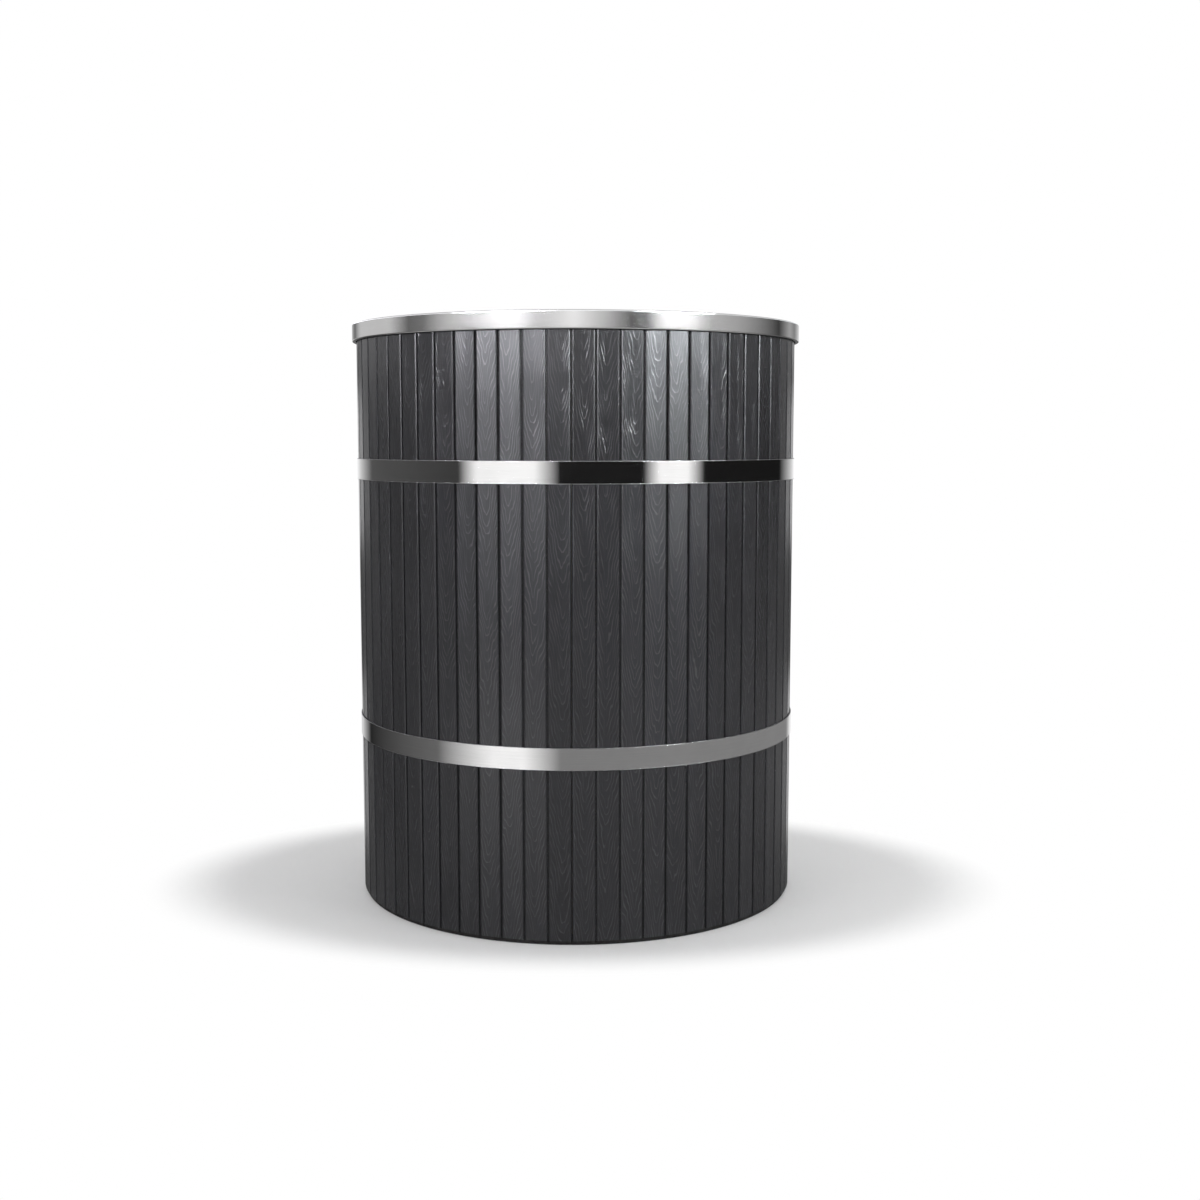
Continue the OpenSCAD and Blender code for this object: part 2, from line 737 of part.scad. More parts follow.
// Moulded sleeve on the handle: a flat section with round sides, closed at the far end
module valve_grip(i) {
    half_h = lever_t / 2 + grip_t;
    slot_h = lever_t + 2 * fit_clear;
    slot_y = lever_w + 2 * fit_clear;
    color([0.07, 0.1, 0.22]) on_stem(i) translate([grip_x, 0, lever_z + lever_rise + lever_t / 2])
        difference() {
            rotate([90, 0, 90]) linear_extrude(height = grip_l) {
                square([lever_w, 2 * half_h], center = true);
                for (side = [-1, 1])
                    translate([side * lever_w / 2, 0]) circle(r = half_h);
            }
            translate([-overrun, -slot_y / 2, -slot_h / 2])
                cube([grip_l - grip_t + overrun + fit_clear, slot_y, slot_h]);
        }
}

module valve_nut(i) {
    color([0.7, 0.7, 0.7]) on_stem(i) difference() {
        translate([0, 0, stem_nut_z]) hexagon(stem_nut_af, stem_nut_h);
        translate([0, 0, lever_z]) cylinder(r = stem_r + fit_clear, h = boss_h);
    }
}

base_mat();
base_plate();
base_foam();
vessel_floor();
vessel_wall();
foam_jacket();
rim_gasket();
rim_cap();
for (panel = [1 : panel_count])
    stave_panel(panel);
band(lower_band_z);  // lower_band
band(upper_band_z);  // upper_band
band_bolts();
band_washers();
band_nuts();
bench_seat();
seat_brackets();
drain_flange();
drain_gasket();
drain_cup();
drain_pipe();
drain_cover_plate();
drain_strainer();
drain_spout();
drain_cap();
suction_grille();
for (i = [0, 1]) {
    wall_fitting(i);
    wall_gasket(i);
    locknut(i);
    hose_tail(i);
}
for (i = [0 : len(lines) - 1]) {
    valve_body(i);
    valve_ball(i);
    valve_stem(i);
    valve_lever(i);
    valve_grip(i);
    valve_nut(i);
}
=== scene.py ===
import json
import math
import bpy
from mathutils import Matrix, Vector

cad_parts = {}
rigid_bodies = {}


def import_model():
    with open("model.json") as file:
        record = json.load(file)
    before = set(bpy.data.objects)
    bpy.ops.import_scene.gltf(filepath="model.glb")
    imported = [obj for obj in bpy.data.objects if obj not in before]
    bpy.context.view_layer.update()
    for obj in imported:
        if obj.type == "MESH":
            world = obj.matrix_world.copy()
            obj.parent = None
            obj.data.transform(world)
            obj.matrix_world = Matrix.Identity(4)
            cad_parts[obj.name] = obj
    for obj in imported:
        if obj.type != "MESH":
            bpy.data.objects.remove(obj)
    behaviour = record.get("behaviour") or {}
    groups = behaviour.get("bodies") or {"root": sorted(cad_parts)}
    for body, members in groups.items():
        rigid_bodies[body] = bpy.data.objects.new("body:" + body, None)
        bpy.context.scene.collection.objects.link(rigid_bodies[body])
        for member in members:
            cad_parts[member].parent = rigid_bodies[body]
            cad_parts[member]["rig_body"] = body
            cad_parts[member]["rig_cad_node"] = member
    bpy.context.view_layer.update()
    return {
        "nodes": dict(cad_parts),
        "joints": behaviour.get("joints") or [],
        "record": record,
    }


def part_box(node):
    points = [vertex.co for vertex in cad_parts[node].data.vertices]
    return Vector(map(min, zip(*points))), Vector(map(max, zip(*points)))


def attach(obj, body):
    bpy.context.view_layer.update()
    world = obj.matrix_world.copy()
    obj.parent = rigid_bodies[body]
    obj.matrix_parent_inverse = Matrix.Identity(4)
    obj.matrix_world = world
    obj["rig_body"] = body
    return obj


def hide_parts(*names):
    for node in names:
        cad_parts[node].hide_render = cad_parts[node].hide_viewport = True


bl_info = {
    "name": "Barrel cold plunge tub",
    "version": (1, 0, 0),
    "blender": (4, 5, 0),
    "location": "3D View > Sidebar > Tub",
    "description": "Dresses the packed tub: staves, rim, bands, vessel, seat, drain, ports and valves",
    "category": "Object",
}

import bmesh
import bpy
from mathutils import Matrix, Vector

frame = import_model()

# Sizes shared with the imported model, in metres
STAVE_COUNT = 63
PANEL_STAVES = 7
PANELS = STAVE_COUNT // PANEL_STAVES
STAVE_PITCH = math.tau / STAVE_COUNT
STAVE_FACE = 0.4085
STAVE_BACK = 0.3885
STAVE_GAP = 0.0005
STAVE_LOW = 0.0075
STAVE_TOP = 1.05
GROOVE_SIDE = 0.0014
GROOVE_DEEP = 0.0045
LINE_HOLE_R = 0.018
FRONT = -math.pi / 2
RIM_TOP = 1.06
RIM_OUT = 0.4165
RIM_IN = 0.358
RIM_LOW = 1.029
RIM_SHEET = 0.0015
RIM_FLANGE_IN = 0.41014
LIP_LOW = 1.038
BAND_OUT = 0.41067
BAND_SHEET = 0.0015
BAND_WIDE = 0.038
BAND_LEVELS = {"lower": 0.320, "upper": 0.797}
BAND_ENDS = math.pi / 2 - 5 * STAVE_PITCH
BAND_GAP = 0.012
EAR_OUT = 0.024
EAR_MIDDLE = BAND_OUT + EAR_OUT / 2
EAR_SHEET = 0.003
EAR_HOLE_R = 0.0043
BOLT_R = 0.004
BOLT_HEX = 0.013
BOLT_HEAD = 0.0053
BOLT_SPARE = 0.004
BOLT_PITCH = 0.00125
NUT_TALL = 0.0065
WASHER = 0.0016
WASHER_R = 0.008
VESSEL_IN = 0.360
VESSEL_FLANGE = 0.404
FLOOR_TOP = 0.0695
SEAM_START = FLOOR_TOP + 0.001
SHEET = 0.002
SEAT_TOP = 0.4695
SEAT_FRONT = 0.150
SEAT_BEND = 0.005
FITTING_IN = 0.351575
FITTING_FLANGE = 0.005
FITTING_FLANGE_R = 0.032
LOCKNUT_TALL = 0.012
LOCKNUT_HEX = 0.046
VALVE_IN = 0.421
VALVE_LONG = 0.066
VALVE_MIDDLE = VALVE_LONG / 2
VALVE_HEX = 0.042
HEX_LONG = 0.014
SOCKET_R = 0.0168
SOCKET_DEEP = 0.012
BORE_R = 0.0125
THREAD_R = 0.0167
BALL_ROOM_R = 0.0183
STEM_R = 0.005
STEM_LOW = 0.0136
STEM_ROOM = 0.00006
BOSS_TOP = 0.033
LEVER_LOW = 0.0333
LEVER_SHEET = 0.003
LEVER_RISE = 0.012
LEVER_LONG = 0.105
LEVER_WIDE = 0.020
LEVER_ROOM = 0.0001
HUB_R = 0.012
LEVER_NUT_TALL = 0.005
LEVER_NUT_HEX = 0.015
TAIL_IN = VALVE_IN + VALVE_LONG
TAIL_THREAD = 0.0115
TAIL_HEX = 0.009
TAIL_HEX_WIDE = 0.038
TAIL_NOSE = TAIL_IN + TAIL_HEX
TAIL_R = 0.013
TAIL_BORE = 0.0095
TAIL_PLAIN = 0.018
BARB_LONG = 0.007
SPOUT_LONG = 0.016
CAP_R = 0.0168
CAP_BORE = 0.0133
CAP_FLOOR = 0.0035
END_GAP = 0.0005
DRAIN_Y = 0.230
HINGES = {j["name"]: Vector(j["pos_m"]) for j in frame["joints"] if "pos_m" in j}

# Sizes, in metres, and counts that the dressed pieces have of their own
OVERRUN = 0.001
LONG_OVERRUN = 0.01
FINE_EDGE = 0.0003
CUT_EDGE = 0.0005
SOFT_EDGE = 0.0008
MAT_EDGE = 0.0014
EAR_CORNER = 0.008
RIM_LOW_BEND = 0.0022
FLANGE_BEND = 0.004
THREAD_DEEP = 0.0004
TAIL_LAP = 0.0002
BARBS = 3
BARB_DEEP = 0.0009
WALL_RING_TALL = 0.004
STRAINER_PLATE = 0.003
CAP_FACETS = 96
CAP_BEND = 0.0014
RING_STEPS = 288
TURN_STEPS = 96


def line_place(line):
    """Angle and height of a water line, read from its lever's hinge."""
    at = HINGES[f"{line}_lever_turn"]
    return math.atan2(at.y, at.x), at.z


LINES = {line: line_place(line) for line in ("return", "suction", "drain")}


def length_property(name, description, default):
    return bpy.props.FloatProperty(name=name, description=description, default=default, unit="LENGTH")


def colour_property(name, description, default):
    return bpy.props.FloatVectorProperty(
        name=name, description=description, default=default, size=3, subtype="COLOR", min=0, max=1)


def share_property(name, description, default):
    return bpy.props.FloatProperty(name=name, description=description, default=default, min=0, max=1)


class TubSizes(bpy.types.PropertyGroup):
    """Small sizes of the finish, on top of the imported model's own."""

    stave_edge: length_property("Stave edge", "Width of the chamfers on a stave's face", 0.0021)
    grain_depth: length_property("Grain depth", "Height of the embossed grain lines", 0.00009)
    rim_corner: length_property("Rim corner", "Radius of the rim's two upper bends", 0.0024)
    sheet_edge: length_property("Sheet edge", "Radius that breaks the edges of cut sheet", 0.0004)
    weld: length_property("Weld", "Radius of the weld bead inside the vessel", 0.0022)
    turned_edge: length_property("Turned edge", "Radius on the edges of machined fittings", 0.0006)


class TubColours(bpy.types.PropertyGroup):
    """Colours and roughness of the tub's finishes."""

    stave: colour_property("Stave", "Charcoal of the staves between their grain", (0.0320, 0.0318, 0.0345))
    # The grain colour is partly the lines' own worn tone and partly a painted highlight on the raised lines.
    grain: colour_property("Grain", "Worn colour on the raised grain lines", (0.056, 0.056, 0.060))
    steel: colour_property("Steel", "Tint of the stainless steel", (0.80, 0.795, 0.785))
    rim_rough: share_property("Rim roughness", "Roughness of the brushed rim", 0.06)
    band_rough: share_property("Band roughness", "Roughness of the two bands", 0.055)
    vinyl: colour_property("Grip", "Vinyl of the lever grips", (0.016, 0.016, 0.018))


class TubStage(bpy.types.PropertyGroup):
    """Floor, lamps and camera."""

    lamp: bpy.props.FloatProperty(
        name="Lamps", description="Power of each soft lamp", default=26.0, unit="POWER")
    sky: bpy.props.FloatProperty(
        name="Room level", description="Level of the plain light from all round", default=0.45, min=0)
    boxes: bpy.props.FloatProperty(
        name="Soft boxes", description="Level of the two soft boxes that the rim mirrors", default=137.0)
    floor: colour_property("Floor", "Colour of the pale floor", (0.90, 0.90, 0.90))
    lens: bpy.props.FloatProperty(
        name="Lens", description="Focal length of the camera, in millimetres", default=45.76)


# Work on one object
def only(piece):
    """Leaves one object selected and active."""
    bpy.ops.object.select_all(action="DESELECT")
    piece.select_set(True)
    bpy.context.view_layer.objects.active = piece
    return piece


def fresh(kind, name, **place):
    """Adds a primitive with nothing else selected, and applies its place."""
    bpy.ops.object.select_all(action="DESELECT")
    getattr(bpy.ops.mesh, f"primitive_{kind}_add")(**place)
    piece = bpy.context.object
    piece.name = piece.data.name = name
    bpy.ops.object.transform_apply(location=True, rotation=True, scale=True)
    return piece


def block(name, low, high):
    """A cube between two corners."""
    low, high = Vector(low), Vector(high)
    return fresh("cube", name, size=1, location=(low + high) / 2, scale=high - low)


def edit(piece):
    only(piece)
    bpy.ops.object.mode_set(mode="EDIT")
    bpy.ops.mesh.select_mode(type="VERT")
    bpy.ops.mesh.select_all(action="SELECT")


def done():
    bpy.ops.object.mode_set(mode="OBJECT")


def pick(kind, test):
    """In edit mode, selects the verts, edges or faces that pass the test."""
    piece = bpy.context.object
    bpy.ops.mesh.select_mode(type={"verts": "VERT", "edges": "EDGE", "faces": "FACE"}[kind])
    bpy.ops.mesh.select_all(action="DESELECT")
    mesh = bmesh.from_edit_mesh(piece.data)
    for part in getattr(mesh, kind):
        if test(part):
            part.select_set(True)
    mesh.select_flush_mode()
    bmesh.update_edit_mesh(piece.data)


def everything():
    """In edit mode, selects the whole piece."""
    bpy.ops.mesh.select_all(action="SELECT")


def widen(y, z=1.0):
    """In edit mode, scales what is selected across Y and Z."""
    bpy.ops.transform.resize(value=(1, y, z))


def push(x, y=0.0, z=0.0):
    """In edit mode, extrudes what is selected."""
    bpy.ops.mesh.extrude_region_move(TRANSFORM_OT_translate={"value": (x, y, z)})


def rounded(radius, segments):
    """In edit mode, rounds the selected edges."""
    bpy.ops.mesh.bevel(offset=radius, segments=segments, profile=0.5)


def close_holes():
    """In edit mode, fills every open loop of edges."""
    bpy.ops.mesh.select_all(action="DESELECT")
    bpy.ops.mesh.select_mode(type="EDGE")
    bpy.ops.mesh.select_non_manifold()
    bpy.ops.mesh.fill_holes(sides=0)


def ends(edge):
    return edge.verts[0].co, edge.verts[1].co


def runs(edge, axis):
    """True if an edge runs along that axis."""
    a, b = ends(edge)
    way = (b - a).normalized()
    return abs(way[axis]) > 0.99


def eased(piece, width, segments=2, angle=35):
    """Breaks the sharp edges with an applied bevel."""
    only(piece)
    bevel = piece.modifiers.new("Eased", "BEVEL")
    bevel.width, bevel.segments = width, segments
    bevel.limit_method, bevel.angle_limit = "ANGLE", math.radians(angle)
    bpy.ops.object.modifier_apply(modifier=bevel.name)
    return piece


def combine(piece, tool, operation="DIFFERENCE"):
    """Cuts, joins or trims a piece with another, which is used up."""
    only(piece)
    cut = piece.modifiers.new("Cut", "BOOLEAN")
    cut.object, cut.operation, cut.solver = tool, operation, "EXACT"
    bpy.ops.object.modifier_apply(modifier=cut.name)
    bpy.data.objects.remove(tool)
    return piece


def twin(piece, name):
    """A copy with its own mesh."""
    only(piece)
    bpy.ops.object.duplicate(linked=False)
    copy = bpy.context.object
    copy.name = copy.data.name = name
    return copy


def joined(name, pieces):
    only(pieces[0])
    for piece in pieces[1:]:
        piece.select_set(True)
    bpy.ops.object.join()
    whole = bpy.context.object
    whole.name = whole.data.name = name
    return whole


def discard(*models):
    """Removes the models that only served to be copied."""
    for model in models:
        bpy.data.objects.remove(model)


def settle(piece, angle=0.0, out=0.0, height=0.0, turn=0.0, tilt=0.0, roll=0.0):
    """Moves a piece that was made at the origin out along an angle, and applies its place."""
    piece.matrix_world = (
        Matrix.Rotation(angle, 4, "Z") @ Matrix.Translation((out, 0, height))
        @ Matrix.Rotation(turn, 4, "Z") @ Matrix.Rotation(tilt, 4, "Y") @ Matrix.Rotation(roll, 4, "X"))
    only(piece)
    bpy.ops.object.transform_apply(location=True, rotation=True, scale=True)
    return piece


def outward(line):
    """How settle places a piece made on Z so that it points out along a water line."""
    angle, height = LINES[line]
    return {"angle": angle, "height": height, "tilt": math.pi / 2}


def drawn(name, outline, rounds=None, y=0.0):
    """Starts a piece as a closed outline of X and Z, in edit mode and all selected.

    The keys of rounds are radii, and its values the numbers of the corners that have them."""
    first = outline[0]
    piece = fresh("plane", name, size=0.0001, location=(first[0], y, first[1]))
    edit(piece)
    bpy.ops.mesh.merge(type="CENTER")
    for before, after in zip(outline, outline[1:] + [first]):
        bpy.ops.mesh.extrude_vertices_move(
            TRANSFORM_OT_translate={"value": (after[0] - before[0], 0, after[1] - before[1])})
    everything()
    bpy.ops.mesh.remove_doubles(threshold=1e-6)
    for radius, corners in (rounds or {}).items():
        spots = [Vector((outline[i][0], y, outline[i][1])) for i in corners]
        pick("verts", lambda v: any((v.co - spot).length < 2e-6 for spot in spots))
        bpy.ops.mesh.bevel(affect="VERTICES", offset=radius, segments=5, profile=0.5, clamp_overlap=False)
    bpy.ops.mesh.select_mode(type="VERT")
    everything()
    return piece


def turned(name, outline, rounds=None, steps=TURN_STEPS, arc=math.tau):
    """A turned piece: a closed outline of radius and height, its corners rounded, spun round Z."""
    piece = drawn(name, outline, rounds)
    bpy.ops.mesh.spin(steps=steps, angle=arc, center=(0, 0, 0), axis=(0, 0, 1))
    everything()
    bpy.ops.mesh.remove_doubles(threshold=1e-6)
    bpy.ops.mesh.delete_loose(use_verts=True, use_edges=True, use_faces=False)
    if arc < math.tau:
        close_holes()
    everything()
    bpy.ops.mesh.normals_make_consistent(inside=False)
    done()
    return piece


def tube_block(name, vertices, radius, low, high, **place):
    """A cylinder or prism on Z between two heights."""
    return fresh("cylinder", name, vertices=vertices, radius=radius, depth=high - low,
                 location=(0, 0, (low + high) / 2), **place)


def drill(radius, low, high, **place):
    """A plain cylinder on Z that cuts a hole."""
    return settle(tube_block("drill", 64, radius, low, high), **place)


def hexagon(name, across, low, high, bore=0.0):
    """A hexagonal block on Z with chamfered corners, and a bore if it has one."""
    corner = across / math.sqrt(3)
    flat, reach = across / 2 * 0.97, corner * 1.02
    slant = math.tan(math.radians(30))
    fall, slope = (reach - flat) * slant, OVERRUN / slant
    piece = tube_block(name, 6, corner, low, high, rotation=(0, 0, math.radians(30)))
    guard = turned("guard", [
        (0, low - OVERRUN), (flat - slope, low - OVERRUN), (reach, low + fall),
        (reach, high - fall), (flat - slope, high + OVERRUN), (0, high + OVERRUN)], steps=72)
    combine(piece, guard, "INTERSECT")
    if bore:
        combine(piece, drill(bore, low - OVERRUN, high + OVERRUN))
    return piece


def thread(radius, root, low, high, pitch, cuts):
    """Outline points of rolled threads on Z, and the height where they end.

    The cuts tell how far from its start each thread's crest, flank and valley end."""
    crest, flank, valley = cuts
    points = []
    while low < high:
        points += [(radius, low), (radius, low + crest), (root, low + flank), (root, low + valley)]
        low += pitch
    return points, low


def bead(name, radius, size, height, steps=540):
    """A weld bead round Z, with a ripple at each place where the rod was dipped."""
    piece = fresh("torus", name, major_radius=radius, minor_radius=size, major_segments=steps,
                  minor_segments=10, location=(0, 0, height))
    edit(piece)
    pick("verts", lambda v: round(math.atan2(v.co.y, v.co.x) / math.tau * steps) % 3 == 0)
    bpy.ops.transform.shrink_fatten(value=size * 0.12)
    done()
    return piece


def recast(name, node, width=0.0, segments=2, before=None):
    """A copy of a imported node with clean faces, to be worked on and eased."""
    piece = twin(frame["nodes"][node], name)
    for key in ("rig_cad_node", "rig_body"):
        del piece[key]
    piece.parent = None
    edit(piece)
    bpy.ops.mesh.customdata_custom_splitnormals_clear()
    bpy.ops.mesh.remove_doubles(threshold=1e-6)
    bpy.ops.mesh.dissolve_limited(angle_limit=math.radians(0.2))
    if before:
        before()
    done()
    if width:
        eased(piece, width, segments)
    return piece


def finished(piece, slot, body="tub", stands_for=(), smooth=32):
    """Shades a piece, gives it its material, and ties it to its body."""
    only(piece)
    bpy.ops.object.shade_smooth_by_angle(angle=math.radians(smooth))
    even = piece.modifiers.new("Even", "WEIGHTED_NORMAL")
    even.keep_sharp = True
    bpy.ops.object.modifier_apply(modifier=even.name)
    piece.data.materials.clear()
    piece.data.materials.append(FINISHES[slot])
    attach(piece, body)
    if stands_for:
        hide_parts(*stands_for)
    return piece


# Shader nodes
FINISHES = {}


def connect(socket, value):
    """Feeds an input from another node's output, or gives it a plain value."""
    if isinstance(value, bpy.types.NodeSocket):
        socket.id_data.links.new(value, socket)
    else:
        socket.default_value = value


def tree_of(*values):
    """The node tree of the first socket among some values."""
    return next(value.id_data for value in values if isinstance(value, bpy.types.NodeSocket))


def put(tree, kind, feeds=None, **settings):
    """Adds a shader node with its settings, and feeds its inputs."""
    made = tree.nodes.new("ShaderNode" + kind)
    for name, value in settings.items():
        setattr(made, name, value)
    for name, value in (feeds or {}).items():
        connect(made.inputs[name], value)
    return made


def calc(operation, *terms, clamp=False):
    """The output of a Math node."""
    feeds = dict(enumerate(terms))
    return put(tree_of(*terms), "Math", feeds, operation=operation, use_clamp=clamp).outputs[0]


def times(one, other):
    return calc("MULTIPLY", one, other)


def plus(one, other, clamp=False):
    return calc("ADD", one, other, clamp=clamp)


def minus(one, other):
    return calc("SUBTRACT", one, other)


def raised(value, mask, amount):
    """A value that a mask raises by up to that amount."""
    return plus(value, times(mask, amount))


def between(value, low, high, to_low=0.0, to_high=1.0, smooth=True):
    """A value mapped from one span to another."""
    spans = {"Value": value, "From Min": low, "From Max": high, "To Min": to_low, "To Max": to_high}
    curve = "SMOOTHSTEP" if smooth else "LINEAR"
    return put(tree_of(value), "MapRange", spans, interpolation_type=curve).outputs[0]


def blended(share, one, other):
    """Two colours mixed by a share."""
    made = put(tree_of(share), "Mix", data_type="RGBA")
    connect(made.inputs[0], share)
    for number, colour in ((6, one), (7, other)):
        plain = not isinstance(colour, bpy.types.NodeSocket)
        connect(made.inputs[number], (*colour[:3], 1) if plain else colour)
    return made.outputs[2]


def object_place(tree):
    return put(tree, "TexCoord").outputs["Object"]


def split(place):
    """The X, Y and Z of a place."""
    return put(tree_of(place), "SeparateXYZ", {0: place}).outputs


def point(x, y, z):
    return put(tree_of(x), "CombineXYZ", {"X": x, "Y": y, "Z": z}).outputs[0]


def stretched(place, factors):
    return put(tree_of(place), "VectorMath", {0: place, 1: factors}, operation="MULTIPLY").outputs[0]


def noise(place, scale, detail, rough=0.5, **more):
    """The grey of a noise texture."""
    feeds = {"Vector": place, "Scale": scale, "Detail": detail, "Roughness": rough, **more}
    return put(tree_of(place), "TexNoise", feeds).outputs["Fac"]


def shader_group(name, takes, gives):
    """Starts a node group with named inputs and outputs."""
    tree = bpy.data.node_groups.new(name, "ShaderNodeTree")
    for label, kind, value in takes:
        socket = tree.interface.new_socket(name=label, in_out="INPUT", socket_type="NodeSocket" + kind)
        if value is not None:
            socket.default_value = value
    for label, kind in gives:
        tree.interface.new_socket(name=label, in_out="OUTPUT", socket_type="NodeSocket" + kind)
    return tree, tree.nodes.new("NodeGroupInput").outputs, tree.nodes.new("NodeGroupOutput").inputs


def ring_coordinates():
    """Group: place round the tub's axis, as turn times radius, radius and height."""
    tree, takes, gives = shader_group("Round the tub", [("Radius", "Float", 0.4)], [("Vector", "Vector")])
    x, y, z = split(object_place(tree))
    away = calc("SQRT", plus(times(x, x), times(y, y)))
    turn = times(calc("ARCTAN2", y, x), takes["Radius"])
    connect(gives["Vector"], point(turn, away, z))


def board_grain():
    """Group: thin embossed lines in nested arches, one figure to each stave."""
    tree, takes, gives = shader_group(
        "Board grain", [("Staves", "Float", 63.0), ("Wide", "Float", 0.041), ("Arches", "Float", 44.0),
                        ("Legs", "Float", 8.5), ("Waver", "Float", 3.6), ("Line", "Float", 0.0008)],
        [("Lines", "Float"), ("Fibre", "Float"), ("Tone", "Float")])
    x, y, z = split(object_place(tree))
    turn = plus(calc("DIVIDE", calc("ARCTAN2", y, x), math.tau), 0.25)
    place = times(calc("FLOORED_MODULO", turn, 1.0), takes["Staves"])
    number = calc("FLOOR", place)
    across = minus(minus(place, number), 0.5)
    dice = put(tree, "TexWhiteNoise", {"W": number}, noise_dimensions="1D").outputs["Color"]
    chance = put(tree, "SeparateColor", {0: dice}).outputs
    side = minus(across, times(minus(chance[0], 0.5), 0.3))
    along = raised(z, chance[1], 9.0)

    def cloud(wide, tall, detail):
        at = point(times(across, wide), number, times(along, tall))
        return noise(at, 1.0, detail)

    bow = calc("SQRT", plus(times(side, side), 0.004))
    drift = plus(times(cloud(1.2, 8.0, 1.0), takes["Waver"]),
                 times(cloud(4.0, 30.0, 1.0), 1.7))
    arches = minus(times(bow, takes["Legs"]), times(along, takes["Arches"]))
    rings = plus(drift, arches)
    lean = times(calc("DIVIDE", side, bow), takes["Legs"])
    steep = calc("DIVIDE", lean, takes["Wide"])
    slope = calc("SQRT", plus(times(steep, steep),
                                    times(takes["Arches"], takes["Arches"])))
    far = calc("DIVIDE", calc("PINGPONG", rings, 0.5), slope)
    line = between(calc("DIVIDE", far, takes["Line"]), 1.0, 0.3)
    inside = between(calc("ABSOLUTE", across), 0.44, 0.42)
    faded = between(cloud(3.0, 14.0, 1.0), 0.32, 0.6, 0.15, 1.0)
    connect(gives["Lines"], times(line, times(faded, inside)))
    connect(gives["Fibre"], cloud(30.0, 22.0, 3.0))
    connect(gives["Tone"], between(chance[2], 0.0, 1.0, 0.88, 1.12, smooth=False))


def brushing():
    """Group: fine strokes of a brushed sheet, and the slow clouds of its rolling."""
    takes, gives = shader_group(
        "Brushing", [("Vector", "Vector", None), ("Strokes", "Float", 900.0), ("Length", "Float", 12.0)],
        [("Stroke", "Float"), ("Cloud", "Float")])[1:]
    factors = point(takes["Length"], takes["Strokes"], takes["Strokes"])
    lines = stretched(takes["Vector"], factors)
    connect(gives["Stroke"], noise(lines, 1.0, 3.0, 0.65))
    connect(gives["Cloud"], noise(takes["Vector"], 9.0, 3.0, 0.55))


def handling():
    """Group: smudges of wet hands, and short fine scratches."""
    tree, takes, gives = shader_group(
        "Handling", [("Smudge size", "Float", 14.0), ("Scratch size", "Float", 1100.0)],
        [("Smudge", "Float"), ("Scratch", "Float")])
    place = object_place(tree)
    smudge = noise(place, takes["Smudge size"], 4.0, 0.6, Distortion=0.6)
    stroke = noise(stretched(place, (1.0, 1.0, 0.06)), takes["Scratch size"], 1.0)
    spread = noise(place, 30.0, 2.0)
    scratch = times(between(stroke, 0.66, 0.72), between(spread, 0.45, 0.6))
    connect(gives["Smudge"], between(smudge, 0.42, 0.68))
    connect(gives["Scratch"], scratch)


def feed(node, **feeds):
    """Feeds a node's inputs by name, with an underscore for each space."""
    for label, value in feeds.items():
        connect(node.inputs[label.replace("_", " ")], value)


def group(tree, name, **values):
    """Places one of the node groups in a material."""
    made = put(tree, "Group", node_tree=bpy.data.node_groups[name])
    feed(made, **values)
    return made.outputs


def new_finish(slot, label):
    """An empty material with its shader, filed under the record's slot."""
    material = bpy.data.materials.new(label)
    material.use_nodes = True
    tree = material.node_tree
    tree.nodes.clear()
    shader = put(tree, "BsdfPrincipled")
    tree.links.new(shader.outputs[0], put(tree, "OutputMaterial").inputs["Surface"])
    FINISHES[slot] = material
    return tree, shader


def bumped(height, depth):
    """A normal from the height of a pattern."""
    return put(tree_of(height), "Bump", {"Height": height, "Distance": depth}).outputs[0]


def stave_finish(sizes, colours):
    """Charcoal boards with embossed grain, each stave a little lighter or darker."""
    tree, shader = new_finish("stave", "Charcoal stave")
    grain = group(tree, "Board grain", Staves=float(STAVE_COUNT))
    marks = group(tree, "Handling", Smudge_size=6.0)
    # Lighter raised grain lines: their own wear and fibre tone, with a painted highlight where the raised
    # lines catch the light.
    wear_and_sheen = plus(grain["Lines"], between(grain["Fibre"], 0.35, 0.7, 0.0, 0.22), clamp=True)
    plain = blended(wear_and_sheen, colours.stave, colours.grain)
    toned = put(tree, "HueSaturation", {"Value": grain["Tone"], "Color": plain}).outputs[0]
    rough = raised(between(grain["Fibre"], 0.3, 0.7, 0.155, 0.20), marks["Smudge"], 0.02)
    feed(shader, Base_Color=toned, Roughness=rough, Specular_IOR_Level=0.555,
         Normal=bumped(grain["Lines"], sizes.grain_depth))


